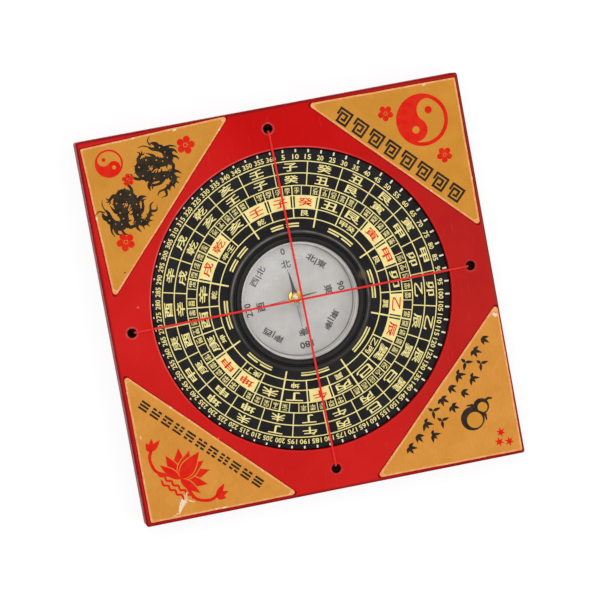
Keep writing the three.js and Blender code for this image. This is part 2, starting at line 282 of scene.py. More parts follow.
def bore(radius, low, high, steps=SMALL_STEPS):
    return lathe([(0, low), (radius, low), (radius, high), (0, high)], steps, closed=False)


def carved(solid, cutters):
    """The solid without the cutters, as points and faces"""
    blank, *helpers = [shown_object("form", made_mesh("form", form, 1)) for form in (solid, *cutters)]
    for helper in helpers:
        cut = blank.modifiers.new("cut", "BOOLEAN")
        cut.operation, cut.solver, cut.object = "DIFFERENCE", "EXACT", helper
    result = as_solid(final_mesh(blank))
    for helper in [blank, *helpers]:
        bpy.data.objects.remove(helper)
    return result


def turned_piece(name, corners, material, body, replaced, closed=False):
    """A turned piece from the (radius, height, rounding) corners of its section"""
    solid = lathe(eased(corners, closed), closed=closed)
    return as_piece(name, solid, [material], body, replaced)


def pivot_piece(name, corners, material, body, replaced=()):
    """A small turned piece on the needle's pivot"""
    solid = moved(lathe(eased(corners), SMALL_STEPS, closed=False), pivot_east, pivot_north)
    return as_piece(name, solid, [material], body, replaced)


def weigh_normals(piece):
    """Keeps large flat faces flat beside their rounded edges"""
    piece.modifiers.new("flat", "WEIGHTED_NORMAL").keep_sharp = True
    mesh = final_mesh(piece)
    piece.modifiers.clear()
    piece.data = mesh


# Material making


def colour(red, green, blue):
    """Linear colour from 0 to 255 screen values"""
    shares = [value / 255 for value in (red, green, blue)]
    linear = [s / 12.92 if s <= 0.04045 else ((s + 0.055) / 1.055) ** 2.4 for s in shares]
    return (*linear, 1)


def bare_material(name):
    material = bpy.data.materials.new(name)
    material.use_nodes = True
    material.node_tree.nodes.clear()
    return material


def wired(tree, kind, inputs=None, **settings):
    """A new node whose inputs are linked to a socket or set to a value"""
    node = tree.nodes.new(kind)
    for name, value in settings.items():
        setattr(node, name, value)
    for key, value in (inputs or {}).items():
        if isinstance(value, bpy.types.NodeSocket):
            tree.links.new(value, node.inputs[key])
        else:
            node.inputs[key].default_value = value
    return node


class Finish:
    """A material whose patterns lie in the object's own millimetres"""

    def __init__(self, name, **settings):
        self.material = bare_material(name)
        self.tree = self.material.node_tree
        values = {socket.replace("_", " "): value for socket, value in settings.items()}
        self.shader = self.node("ShaderNodeBsdfPrincipled", values)
        self.out = self.node("ShaderNodeOutputMaterial", {0: self.shader.outputs[0]})
        place = self.node("ShaderNodeTexCoord").outputs["Object"]
        scale = self.node("ShaderNodeMapping", {"Scale": (1 / MM,) * 3, "Vector": place})
        self.place = scale.outputs[0]
        self.east, self.north, self.up = self.node("ShaderNodeSeparateXYZ", {0: self.place}).outputs

    def node(self, kind, inputs=None, **settings):
        return wired(self.tree, kind, inputs, **settings)

    def noise(self, size, detail, offset=0, stretch=(1, 1, 1), turn=0, roughness=0.55, distortion=0):
        move = self.node("ShaderNodeMapping", {
            "Vector": self.place, "Scale": [s / size for s in stretch],
            "Location": (offset,) * 3, "Rotation": (0, 0, math.radians(turn)),
        })
        noise = self.node("ShaderNodeTexNoise", {
            "Vector": move.outputs[0], "Scale": 1, "Detail": detail, "Roughness": roughness,
            "Distortion": distortion,
        })
        return noise.outputs["Fac"]

    def reach(self, value, start, stop, low=0, high=1):
        """low where value is at start, high where it is at stop, smoothly between"""
        numbers = {0: value, 1: start, 2: stop, 3: low, 4: high}
        return self.node("ShaderNodeMapRange", numbers, interpolation_type="SMOOTHSTEP").outputs[0]

    def sum(self, operation, first, second=0):
        return self.node("ShaderNodeMath", {0: first, 1: second}, operation=operation).outputs[0]

    def times(self, first, second):
        return self.sum("MULTIPLY", first, second)

    def apart(self, value, middle):
        return self.sum("ABSOLUTE", self.sum("SUBTRACT", value, middle))

    def squares(self, first, second):
        return self.sum("ADD", self.times(first, first), self.times(second, second))

    def mix(self, share, first, second):
        """Two shades mixed, each a socket or the red, green and blue of the screen from 0 to 255"""
        first, second = [colour(*s) if isinstance(s, tuple) else s for s in (first, second)]
        return self.node("ShaderNodeMix", {"Factor": share, 6: first, 7: second},
                         data_type="RGBA").outputs[2]

    def patches(self, size, detail, start, stop, offset=0, **shape):
        return self.reach(self.noise(size, detail, offset, **shape), start, stop)

    def ground(self, low, high, size, detail, start=0.32, stop=0.7, **shape):
        """A base colour that drifts between two"""
        return self.mix(self.patches(size, detail, start, stop, **shape), low, high)

    def stain(self, base, mask, share, shade):
        return self.mix(self.times(mask, share), base, shade)

    def scratches(self, size, turn, start, stop):
        """Thin straight marks that run along turn degrees"""
        return self.patches(size, 2, start, stop, stretch=(1, 0.04, 1), turn=turn, roughness=0.5)

    def drive(self, socket, value):
        self.tree.links.new(value, self.shader.inputs[socket])

    def paint(self, shade):
        self.drive("Base Color", shade)

    def satin(self, size, detail, low, high, offset=0):
        """Roughness that drifts between two values"""
        self.drive("Roughness", self.reach(self.noise(size, detail, offset), 0.3, 0.7, low, high))

    def grain(self, size, detail, depth, **shape):
        """Fine relief of a depth in millimetres"""
        height = self.noise(size, detail, **shape)
        bump = self.node("ShaderNodeBump", {"Distance": depth * MM, "Height": height})
        self.drive("Normal", bump.outputs[0])


def from_nearest_hole(f):
    """Distance to the nearest of the four thread holes"""
    nearest = None
    for turn in THREAD_TURNS.values():
        cos, sin = math.cos(math.radians(turn)), math.sin(math.radians(turn))
        along = f.sum("ADD", f.times(f.east, cos), f.times(f.north, sin))
        across = f.sum("SUBTRACT", f.times(f.north, cos), f.times(f.east, sin))
        away = f.sum("SUBTRACT", f.sum("ABSOLUTE", along), HOLE_DISTANCE)
        square = f.squares(away, across)
        nearest = f.sum("MINIMUM", nearest, square) if nearest else square
    return f.sum("SQRT", nearest)


def from_middle(f, east=0, north=0):
    """Distance to an upright line, which is the dial's own axis unless a place is given"""
    away = f.squares(f.sum("SUBTRACT", f.east, east), f.sum("SUBTRACT", f.north, north))
    return f.sum("SQRT", away)


def hole_dust(f, base):
    """Pale rims round the thread holes, part dusty film and part painted highlight, stronger at the
    north and west holes, and painted shade in their depths
    """
    away = from_nearest_hole(f)
    patchy = f.reach(f.noise(1.3, 3, 3), 0.4, 0.6, 0.2, 0.5)
    # Pale rims: part dusty film, part painted highlight that is stronger at the north and west holes
    dust_and_highlight = f.times(f.reach(away, HOLE_RADIUS + 0.65, HOLE_RADIUS + 0.25), patchy)
    dust_and_highlight = f.times(dust_and_highlight, f.reach(f.sum("SUBTRACT", f.north, f.east), -44, 10, 0.35, 0.9))
    base = f.mix(dust_and_highlight, base, (206, 122, 122))
    # Painted shade: the holes' depths are painted near black
    hole_depth_shade = f.times(f.reach(away, HOLE_RADIUS + 0.12, HOLE_RADIUS),
                   f.reach(f.up, plate_top - 0.3, plate_top - 0.7))
    return f.mix(hole_depth_shade, base, (16, 6, 6))


def worn_lip(f, base):
    """Thin pale line round the recess lip, a painted highlight, strongest to the north-west"""
    away = f.apart(from_middle(f), recess_radius + 0.22)
    # Painted highlight on the lip, patchy and strongest to the north-west
    painted_highlight = f.times(f.reach(away, 0.24, 0.06), f.reach(f.noise(4, 3, 12), 0.35, 0.6, 0.35, 0.6))
    painted_highlight = f.times(painted_highlight, f.reach(f.sum("SUBTRACT", f.north, f.east), 0, 36, 0.12, 1))
    return f.stain(base, painted_highlight, f.reach(f.up, plate_top - 0.3, plate_top - 0.1), (226, 112, 108))


def plate_sides(f, base, cloud):
    """Sides and edges painted darker as shade, browner on the east edge as painted shade, under a rubbed
    edge
    """
    wide = f.sum("MAXIMUM", f.sum("ABSOLUTE", f.east), f.sum("ABSOLUTE", f.north))
    # Painted shade: the sides darker, and browner on the east edge
    side_shade_red = f.mix(cloud, (138, 17, 18), (154, 24, 23))
    east_edge_shade = f.mix(cloud, (130, 44, 39), (146, 53, 46))
    shade = f.mix(f.reach(f.east, plate_half - 1.2, plate_half - 0.8), side_shade_red, east_edge_shade)
    base = f.mix(f.reach(wide, plate_half - 0.9, plate_half - 0.3), base, shade)
    rub = f.times(f.patches(1.6, 5, 0.6, 0.7, 9), f.reach(f.apart(wide, plate_half - 0.3), 0.3, 0.1))
    return f.stain(base, rub, 0.4, (190, 84, 78))


def red_lacquer():
    """Satin red, deeper to the north-east and duller to the east, with pale hole rims of dusty film and
    painted highlight, painted shade in the holes and on the plate's sides, and a painted highlight round
    the recess lip
    """
    f = Finish("red_lacquer", Specular_IOR_Level=0.03)
    cloud = f.patches(17, 4, 0.35, 0.68)
    north_east_tone = f.mix(cloud, (198, 12, 12), (205, 15, 14))
    west_tone = f.mix(cloud, (203, 28, 26), (211, 33, 30))
    west_tone = f.mix(f.reach(f.sum("ADD", f.north, f.east), 44, 6), north_east_tone, west_tone)
    east_tone = f.mix(cloud, (181, 30, 27), (191, 35, 31))
    base = f.mix(f.reach(f.east, 6, 46), west_tone, east_tone)
    base = f.stain(base, f.patches(0.5, 2, 0.7, 0.8, 4), 0.25, (226, 92, 88))
    line = f.sum("ADD", f.scratches(0.35, 24, 0.69, 0.76), f.scratches(0.3, -61, 0.7, 0.77))
    base = f.stain(base, line, 0.16, (228, 96, 92))
    f.paint(plate_sides(f, worn_lip(f, hole_dust(f, base)), cloud))
    f.satin(3, 5, 0.3, 0.46, 2)
    f.grain(0.9, 4, 0.012, offset=7)
    return f.material


def cover_board():
    """Dark red pressed board with a fine grain"""
    f = Finish("cover_board", Specular_IOR_Level=0.3)
    base = f.ground((118, 22, 24), (142, 30, 30), 9, 5, 0.3)
    f.paint(f.stain(base, f.patches(0.7, 3, 0.6, 0.72, 5), 0.5, (168, 70, 62)))
    f.satin(1.5, 4, 0.6, 0.78, 8)
    f.grain(0.35, 4, 0.03)
    return f.material


def gold_sheet():
    """Brushed golden sheet with faint clouds, rubbed specks and short scratches, painted lighter towards
    the south as painted light
    """
    f = Finish("gold_sheet", Specular_IOR_Level=0.14)
    cloud = f.patches(7, 5, 0.32, 0.7)
    # Painted light: sheets to the south painted lighter, sheets to the north darker
    painted_shade_gold = f.mix(cloud, (206, 138, 40), (216, 147, 50))
    painted_lit_gold = f.mix(cloud, (215, 142, 52), (224, 152, 64))
    base = f.mix(f.reach(f.north, 30, -30), painted_shade_gold, painted_lit_gold)
    brushed_grain = f.patches(0.35, 2, 0.3, 0.7, 3, stretch=(1, 0.18, 1))
    base = f.stain(base, brushed_grain, 0.22, (190, 124, 36))
    base = f.stain(base, f.patches(0.8, 3, 0.68, 0.76, 6), 0.4, (238, 190, 118))
    f.paint(f.stain(base, f.scratches(0.4, 38, 0.7, 0.78), 0.3, (240, 200, 140)))
    f.satin(2, 4, 0.36, 0.5, 1)
    f.grain(0.5, 3, 0.008, stretch=(1, 0.3, 1))
    return f.material


def cut_edge():
    """Pale cut edge of the sheets, chipped to white in places"""
    f = Finish("cut_edge", Specular_IOR_Level=0.1)
    base = f.ground((240, 156, 92), (250, 178, 116), 1.1, 4, 0.35, 0.65)
    f.paint(f.mix(f.patches(1.7, 4, 0.64, 0.69, 11), base, (252, 228, 200)))
    f.satin(0.8, 3, 0.5, 0.7)
    f.grain(0.25, 3, 0.02)
    return f.material


def glue_line():
    """Dark red band painted round each sheet as its contact shadow on the plate"""
    f = Finish("glue_line", Specular_IOR_Level=0.05)
    f.paint(f.ground((118, 8, 8), (152, 14, 12), 1.2, 4, 0.35, 0.65))
    f.satin(0.8, 3, 0.6, 0.8)
    f.grain(0.3, 3, 0.01)
    return f.material


def bare_scrape():
    """Whitish bare patch where a sheet has been scraped"""
    f = Finish("bare_scrape", Specular_IOR_Level=0.25)
    f.paint(f.ground((226, 176, 118), (250, 226, 198), 0.9, 4, 0.35, 0.65, stretch=(1, 0.4, 1)))
    f.satin(0.6, 3, 0.55, 0.75)
    f.grain(0.3, 3, 0.02)
    return f.material


def dial_black(name, low, high, rough):
    """Satin black with faint warm and cool clouds"""
    f = Finish(name, Specular_IOR_Level=0.08)
    base = f.ground(low, high, 4, 5)
    f.paint(f.stain(base, f.patches(0.6, 3, 0.68, 0.78, 6), 0.25, (96, 94, 96)))
    f.satin(1.4, 4, rough - 0.06, rough + 0.08, 2)
    f.grain(0.4, 3, 0.006)
    return f.material


def bezel_black():
    """Black ring with painted shade in its groove, a thin painted grey highlight along its outer
    shoulder, strongest to the north, and a painted reflection of the gold to the east
    """
    f = Finish("bezel_black", Specular_IOR_Level=0.16)
    base = f.ground((22, 21, 21), (37, 34, 32), 4, 5)
    radius = from_middle(f, POOL_EAST, POOL_NORTH)
    # Painted shade in the groove
    base = f.mix(f.reach(f.apart(radius, GROOVE_RADIUS), 0.4, 0.2), base, (8, 8, 9))
    # Painted grey highlight along the outer shoulder, strongest to the north
    painted_highlight = f.times(f.reach(f.noise(3, 4, 5), 0.3, 0.6, 0.5, 1), f.reach(f.north, -15, 4, 0.2, 1))
    shoulder = f.reach(f.apart(radius, SHOULDER_RADIUS), 0.3, 0.08)
    base = f.stain(base, shoulder, painted_highlight, (124, 118, 112))
    # Painted reflection of the gold, a warm patch on the ring's east side
    gold_reflection = f.reach(from_middle(f, POOL_EAST + 17.1, POOL_NORTH + 3.6), 1.7, 0.5)
    base = f.stain(base, gold_reflection, 0.55, (118, 96, 70))
    f.paint(f.stain(base, f.patches(0.6, 3, 0.68, 0.78, 6), 0.3, (96, 92, 88)))
    f.satin(1.4, 4, 0.26, 0.4, 2)
    f.grain(0.4, 3, 0.006)
    return f.material


def print_ink(name, full, thin, wear=0.5):
    """Ink that is a little thin and rubbed in places"""
    f = Finish(name, Specular_IOR_Level=0.08)
    base = f.ground(full, f.mix(0.35, full, thin), 2.2, 4, 0.34, 0.66)
    f.paint(f.stain(base, f.patches(0.45, 3, 0.6, 0.74, 5), wear, thin))
    f.satin(0.7, 3, 0.42, 0.6)
    f.grain(0.3, 2, 0.004)
    return f.material


def silver_satin(name, low, high):
    """Silver paint with a fine satin grain"""
    f = Finish(name, Specular_IOR_Level=0.3)
    base = f.ground(low, high, 5, 5)
    f.paint(f.stain(base, f.patches(0.3, 2, 0.6, 0.75, 8), 0.2, (252, 248, 246)))
    f.satin(1.2, 3, 0.38, 0.52)
    f.grain(0.35, 2, 0.005)
    return f.material


def metal(name, low, high, rough, marks):
    """Turned or rolled metal with fine marks"""
    f = Finish(name, Metallic=1)
    base = f.ground(low, high, 1.4, 4)
    f.paint(f.stain(base, f.scratches(0.16, marks, 0.5, 0.72), 0.25, low))
    f.satin(0.5, 4, rough - 0.06, rough + 0.1, 3)
    f.grain(0.2, 3, 0.004, stretch=(1, 0.3, 1))
    return f.material


def thread_fibre():
    """Bright red twisted fibre with darker grooves and a soft sheen, painted near black as shade where
    it runs down into the holes
    """
    f = Finish("thread_fibre", Specular_IOR_Level=0.15, Sheen_Weight=0.15)
    base = f.ground((238, 28, 27), (253, 54, 48), 0.12, 3, 0.3)
    base = f.stain(base, f.patches(6, 3, 0.55, 0.75, 4), 0.3, (196, 24, 30))
    # Painted shade inside the holes
    hole_depth_shade = f.times(f.reach(f.up, plate_top - 0.1, plate_top - 0.7),
                   f.reach(from_middle(f), HOLE_DISTANCE - 2.5, HOLE_DISTANCE - 1.6))
    f.paint(f.mix(hole_depth_shade, base, (22, 4, 5)))
    f.satin(0.4, 2, 0.55, 0.75)
    f.grain(0.09, 2, 0.012)
    return f.material


def felt_fibre():
    f = Finish("felt_fibre", Specular_IOR_Level=0.1, Sheen_Weight=0.4)
    f.paint(f.ground((58, 54, 50), (88, 82, 76), 0.4, 5, 0.3, distortion=1.5))
    f.satin(0.8, 2, 0.85, 0.98)
    f.grain(0.25, 5, 0.12, distortion=2)
    return f.material


def seal_rubber():
    f = Finish("seal_rubber", Specular_IOR_Level=0.2)
    f.paint(f.ground((26, 26, 30), (44, 44, 48), 1.5, 4, 0.35))
    f.satin(0.7, 3, 0.66, 0.84)
    f.grain(0.3, 3, 0.02)
    return f.material


def clear_pane():
    """See-through, with a reflection on its outer faces that grows at a slant"""
    f = Finish("clear_pane")
    f.tree.nodes.remove(f.shader)
    haze = f.ground((252, 253, 253), (246, 248, 248), 6, 4, 0.4, 0.75)
    through = f.node("ShaderNodeBsdfTransparent", {"Color": haze}).outputs[0]
    dull = f.reach(f.noise(2, 3), 0.3, 0.7, 0.03, 0.09)
    shine = f.node("ShaderNodeBsdfGlossy", {"Roughness": dull}).outputs[0]
    slant = f.node("ShaderNodeFresnel", {"IOR": 1.45}).outputs[0]
    outer = f.sum("SUBTRACT", 1, f.node("ShaderNodeNewGeometry").outputs["Backfacing"])
    both = f.node("ShaderNodeMixShader", {0: f.times(slant, outer), 1: through, 2: shine})
    f.tree.links.new(both.outputs[0], f.out.inputs[0])
    return f.material


# Print

INK_SINK = 0.004
INK_RISE = 0.016
INK_LAYER = 0.005
SIGN_STEPS = 2
SIGN_BOLDNESS = 0.018
FINE_SIGNS, FINE_BOLDNESS = "庚乾", 0.012
CARD_BOLDNESS = 0.026
sign_shapes = {}


def sign_shape(text, boldness):
    """The built-in font's solid for a text, fitted to a square of side 1 round the origin"""
    if (text, boldness) not in sign_shapes:
        curve = bpy.data.curves.new("sign", "FONT")
        curve.body = text
        curve.resolution_u = SIGN_STEPS
        curve.extrude = 0.5
        curve.offset = FINE_BOLDNESS if text in FINE_SIGNS else boldness
        holder = shown_object("sign", curve)
        points, faces = as_solid(final_mesh(holder))
        bpy.data.objects.remove(holder)
        wests, souths, _ = zip(*points)
        west, south = min(wests), min(souths)
        width, height = max(wests) - west, max(souths) - south
        points = [[(x - west) / width - 0.5, (y - south) / height - 0.5, z + 0.5] for x, y, z in points]
        sign_shapes[text, boldness] = points, faces
    return sign_shapes[text, boldness]


def counter_clockwise(outline):
    turning = sum(a[0] * b[1] - b[0] * a[1] for a, b in zip(outline, outline[1:] + outline[:1]))
    return outline[::-1] if turning < 0 else outline


class Ink:
    """Print of one colour on a flat surface, gathered into one mesh"""

    def __init__(self, level, boldness=SIGN_BOLDNESS):
        self.level = level
        self.boldness = boldness
        self.solids = []

    def heights(self, layer):
        return self.level - INK_SINK, self.level + INK_RISE + INK_LAYER * layer

    def area(self, outline, layer=0):
        outline = counter_clockwise(outline)
        self.solids.append(loft([[(x, y, z) for x, y in outline] for z in self.heights(layer)]))

    def ring(self, inner, outer, layer=0, east=0, north=0, steps=TURN_STEPS):
        low, high = self.heights(layer)
        outline = [(inner, low), (outer, low), (outer, high), (inner, high)]
        self.solids.append(moved(lathe(outline, steps), east, north))

    def disc(self, east, north, radius, layer=0, steps=SMALL_STEPS):
        self.area(round_points(east, north, radius, steps), layer)

    def ribbon(self, line, widths, layer=0):
        """A band of changing half width along a line"""
        low, high = self.heights(layer)
        left, right = [], []
        for index, (x, y) in enumerate(line):
            x0, y0 = line[max(index - 1, 0)]
            x1, y1 = line[min(index + 1, len(line) - 1)]
            size = math.hypot(x1 - x0, y1 - y0) or 1
            nx, ny = -(y1 - y0) / size * widths[index], (x1 - x0) / size * widths[index]
            left.append((x + nx, y + ny))
            right.append((x - nx, y - ny))
        rows = [[(*a, low), (*b, low), (*b, high), (*a, high)] for a, b in zip(right, left)]
        self.solids.append(loft([row[::-1] for row in rows]))

    def merged(self, outlines, layer=0):
        """One solid from outlines that overlap"""
        low, high = self.heights(layer)
        corners, loops = [], []
        for outline in map(counter_clockwise, outlines):
            loops.append(list(range(len(corners), len(corners) + len(outline))))
            corners += [Vector(point) for point in outline]
        flat, _, faces, _, _, owners = delaunay_2d_cdt(corners, [], loops, 1, 1e-5)
        faces = [list(face) for face, owner in zip(faces, owners) if owner]
        count = len(flat)
        points = [[p.x, p.y, low] for p in flat] + [[p.x, p.y, high] for p in flat]
        edges = {edge for face in faces for edge in zip(face, face[1:] + face[:1])}
        skin = [[v + count for v in face] for face in faces] + [face[::-1] for face in faces]
        skin += [[a, b, b + count, a + count] for a, b in sorted(edges) if (b, a) not in edges]
        self.solids.append((points, skin))

    def text(self, text, east, north, turn, width, height, layer=0):
        low, high = self.heights(layer)
        points, faces = sign_shape(text, self.boldness)
        sized = [[x * width, y * height, low + z * (high - low)] for x, y, z in points]
        self.solids.append(moved((sized, faces), east, north, turn))

    def piece(self, name, material, body, slot):
        return as_piece(name, joined(self.solids), [material], body)


def spline(points, steps=8):
    """Smooth line through the points; further numbers of a point are smoothed along with it"""
    line = []
    ends = [points[0], *points, points[-1]]
    for a, b, c, d in zip(ends, ends[1:], ends[2:], ends[3:]):
        for step in range(steps):
            t = step / steps
            line.append(tuple(
                0.5 * (2 * q + (r - p) * t + (2 * p - 5 * q + 4 * r - s) * t * t
                       + (3 * q - p - 3 * r + s) * t ** 3)
                for p, q, r, s in zip(a, b, c, d)
            ))
    line.append(tuple(points[-1]))
    return line


# Dial print

DIAL_ZERO = -1.36
# The print was laid down a little west of the dial's middle
PRINT_EAST = -0.42
RING_LINES = [20.95, 23.46, 26.68, 29.28, 32.48, 35.54]
FIGURE_RADIUS = 36.68
FIGURE_PITCH, FIGURE_HEIGHT = 0.8, 1.3
TICK_INNER, TICK_OUTER = 37.82, 38.53
TICK_WIDTH = 0.42
THIN_LINE = 0.26
HEAVY_LINE = 0.4
MOUNTAINS = "子癸丑艮寅甲卯乙辰巽巳丙午丁未坤申庚酉辛戌乾亥壬"
GOLD_CELLS = "壬子癸寅甲乙辰午坤申戌乾"
BRANCHES = "子丑寅卯辰巳午未申酉戌亥"
STEMS_OF_EVEN = "甲丙戊庚壬"
STEMS_OF_ODD = "乙丁己辛癸"
WATER_SIGNS = {
    "癸": "艮", "艮": "甲癸", "甲": "艮", "乙": "巽", "巽": "乙丙", "丙": "巽",
    "丁": "坤", "坤": "庚丁", "庚": "坤", "辛": "乾", "乾": "辛壬", "壬": "乾",
}
# Lines from the outermost inwards, 1 for whole and 0 for broken, clockwise from the dial's zero
TRIGRAMS = ["000", "100", "101", "110", "111", "011", "010", "001"]
# The third and innermost line of each lies under the bezel
TRIGRAM_ROWS = [19.56, 18.88]
TRIGRAM_ROW_WIDTH = 0.38
TRIGRAM_HALF_SPAN = 11
TRIGRAM_HALF_BREAK = 1.1
# Middle radius of each ring of signs, with the width and height of a sign
OUTER_SIGNS, OUTER_SIZE = 34.0, (3.75, 2.1)
SECOND_SIGNS, SECOND_SIZE = 30.87, (3.7, 2.1)
STEM_SIGNS, BRANCH_SIGNS, SMALL_SIZE = 28.43, 27.6, (1.45, 0.78)
MAIN_SIGNS, MAIN_SIZE, RED_SIZE = 25.07, (4.4, 2.2), (3.7, 2.2)
INNER_SIGNS, INNER_SIZE = 22.2, (2.15, 1.45)
CELL_HALF_SPAN = 6.2
CELL_MARGIN = 0.05
HEAVY_LINE_START = 18.75


def spot(radius, bearing):
    return along_bearing(PRINT_EAST, 0, bearing + DIAL_ZERO)(radius)


def sector(ink, inner, outer, start, stop, layer=0):
    steps = max(2, round((stop - start) / 1.5))
    bearings = [start + (stop - start) * step / steps for step in range(steps + 1)]
    outline = [spot(outer, b) for b in bearings] + [spot(inner, b) for b in reversed(bearings)]
    ink.area(outline, layer)


def ray(ink, inner, outer, bearing, width, layer=0):
    place = along_bearing(PRINT_EAST, 0, bearing + DIAL_ZERO)
    corners = [(inner, -1), (inner, 1), (outer, 1), (outer, -1)]
    ink.area([place(radius, side * width / 2) for radius, side in corners], layer)


def on_dial(ink, text, radius, bearing, width, height, layer=0):
    ink.text(text, *spot(radius, bearing), -(bearing + DIAL_ZERO), width, height, layer)


def dial_scale(gold, white):
    """Degree ticks and numbers at the rim"""
    for step in range(1, 73):
        bearing = 5 * step
        to_rim = TICK_OUTER - PRINT_EAST * math.sin(math.radians(bearing + DIAL_ZERO))
        ray(white, TICK_INNER, to_rim, bearing, TICK_WIDTH)
        text = str(bearing)
        on_dial(gold, text, FIGURE_RADIUS, bearing, FIGURE_PITCH * len(text) + 0.1, FIGURE_HEIGHT)


def dial_lines(gold):
    first, _, third, fourth, _, last = RING_LINES
    for radius in RING_LINES:
        gold.ring(radius - THIN_LINE / 2, radius + THIN_LINE / 2, east=PRINT_EAST)
    for step in range(24):
        ray(gold, fourth, last, 15 * step, THIN_LINE, 1)
        start, width = (HEAVY_LINE_START, HEAVY_LINE) if step % 3 == 1 else (first, THIN_LINE + 0.04)
        ray(gold, start, fourth, 7.5 + 15 * step, width, 2)
    for step in range(72):
        if step % 3 != 1:
            ray(gold, third, fourth, 2.5 + 5 * step, THIN_LINE - 0.06, 1)


def dial_signs(gold, red):
    _, inner, outer, *_ = RING_LINES
    for index, sign in enumerate(MOUNTAINS):
        middle = 15 * index
        on_dial(gold, sign, OUTER_SIGNS, middle + 7.5, *OUTER_SIZE)
        on_dial(gold, sign, SECOND_SIGNS, middle - 7.5, *SECOND_SIZE)
        if sign in GOLD_CELLS:
            sector(gold, inner + CELL_MARGIN, outer - CELL_MARGIN,
                   middle - CELL_HALF_SPAN, middle + CELL_HALF_SPAN, 1)
            on_dial(red, sign, MAIN_SIGNS, middle, *RED_SIZE, 3)
        else:
            on_dial(gold, sign, MAIN_SIGNS, middle, *MAIN_SIZE)
        small = WATER_SIGNS.get(sign, "")
        for place, extra in enumerate(small):
            apart = 0 if len(small) == 1 else 3.0 * (2 * place - 1)
            on_dial(gold, extra, INNER_SIGNS, middle + apart, *INNER_SIZE)
    for index, branch in enumerate(BRANCHES):
        stems = STEMS_OF_ODD if index % 2 else STEMS_OF_EVEN
        for place, stem in enumerate(stems):
            bearing = 30 * index + 5 * (place - 2)
            on_dial(gold, stem, STEM_SIGNS, bearing, *SMALL_SIZE)
            on_dial(gold, branch, BRANCH_SIGNS, bearing, *SMALL_SIZE)


def bars(kind, half, half_break):
    """Ends of a trigram's line, which is whole for 1 and broken for 0"""
    return [(-half, half)] if kind == "1" else [(-half, -half_break), (half_break, half)]


def dial_trigrams(gold):
    half_width = TRIGRAM_ROW_WIDTH / 2
    for index, lines in enumerate(TRIGRAMS):
        for radius, kind in zip(TRIGRAM_ROWS, lines):
            for start, stop in bars(kind, TRIGRAM_HALF_SPAN, TRIGRAM_HALF_BREAK):
                sector(gold, radius - half_width, radius + half_width,
                       45 * index + start, 45 * index + stop)


def dial_print():
    gold, red, white = Ink(face_top), Ink(face_top), Ink(face_top)
    dial_scale(gold, white)
    dial_lines(gold)
    dial_signs(gold, red)
    dial_trigrams(gold)
    pale = print_ink("pale_gold_ink", (253, 238, 162), (222, 203, 120), 0.4)
    gold.piece("dial_print_gold", pale, "dial", "gold_ink")
    red_ink = print_ink("dial_red_ink", (226, 36, 12), (236, 96, 40), 0.3)
    red.piece("dial_print_red", red_ink, "dial", "red_ink")
    tick = print_ink("tick_ink", (250, 248, 222), (214, 206, 160), 0.3)
    white.piece("dial_print_ticks", tick, "dial", "gold_ink")


# Corner ornaments


def taiji(red, gold, east, north, radius, turn, rim):
    """Disc of the two principles; turn is the bearing of the gold bulb, which has the red dot"""
    def arc(cx, cy, size, start, stop, steps=24):
        angles = [math.radians(start + (stop - start) * s / steps) for s in range(steps + 1)]
        return [(cx + size * math.cos(a), cy + size * math.sin(a)) for a in angles]

    put = set_down(east, north, -turn)
    body = radius - 0.7 * rim
    half = body / 2
    outline = arc(0, 0, body, 90, 270) + arc(0, -half, half, -90, 90)[1:]
    outline += arc(0, half, half, 270, 90)[1:-1]
    red.area([put(x, y) for x, y in outline])
    red.ring(radius - rim, radius, 1, east, north, 96)
    red.disc(*put(0, half), radius * 0.14, 1)
    gold.disc(*put(0, -half), radius * 0.14, 2)


def blossom(ink, east, north, size, turn):
    """Five round petals round a small heart"""
    for petal in range(5):
        bearing = turn + 72 * petal
        ink.disc(*along_bearing(east, north, bearing)(0.56 * size), 0.33 * size, petal % 2, 20)
        for side in (-9, 9):
            place = along_bearing(east, north, bearing + 36 + side)
            ink.ribbon([place(0.2 * size), place(0.52 * size)], [0.05 * size, 0.03 * size], 2)
    ink.disc(east, north, 0.15 * size, 3, 16)


# Path of a fret from its outer end, as shares of half its side
FRET_PATH = [(-1, 0.1), (-1, 1), (1, 1), (1, -1), (-0.55, -1), (-0.55, 0.45), (0.42, 0.45),
             (0.42, -0.42), (-0.02, -0.42)]


def fret(ink, east, north, side, turn):
    """Square meander that winds in to its middle"""
    put = set_down(east, north, turn)
    path = [(x * side / 2, y * side / 2) for x, y in FRET_PATH]
    stroke = side * 0.085
    for index, (a, b) in enumerate(zip(path, path[1:])):
        size = math.hypot(b[0] - a[0], b[1] - a[1])
        ux, uy = (b[0] - a[0]) / size * stroke, (b[1] - a[1]) / size * stroke
        ink.ribbon([put(a[0] - ux, a[1] - uy), put(b[0] + ux, b[1] + uy)], [stroke] * 2, index % 2)


def bar_sign(ink, east, north, lines, size, turn):
    """Stacked bars from the bottom up"""
    put = set_down(east, north, turn)
    pitch = size / len(lines)
    for row, kind in enumerate(lines):
        y = (row - (len(lines) - 1) / 2) * pitch
        for ends in bars(kind, size / 2, size * 0.1):
            ink.ribbon([put(x, y) for x in ends], [pitch * 0.31] * 2)


def diamond(ink, east, north, long, wide, turn, layer=0):
    put = set_down(east, north, turn)
    ink.area([put(0, long), put(-wide, 0), put(0, -long), put(wide, 0)], layer)


# Bar signs of the south-west sheet, from the bottom bar up
BAR_SIGNS = ["111", "110", "101", "100", "011", "010", "001", "000", "011", "110", "111"]

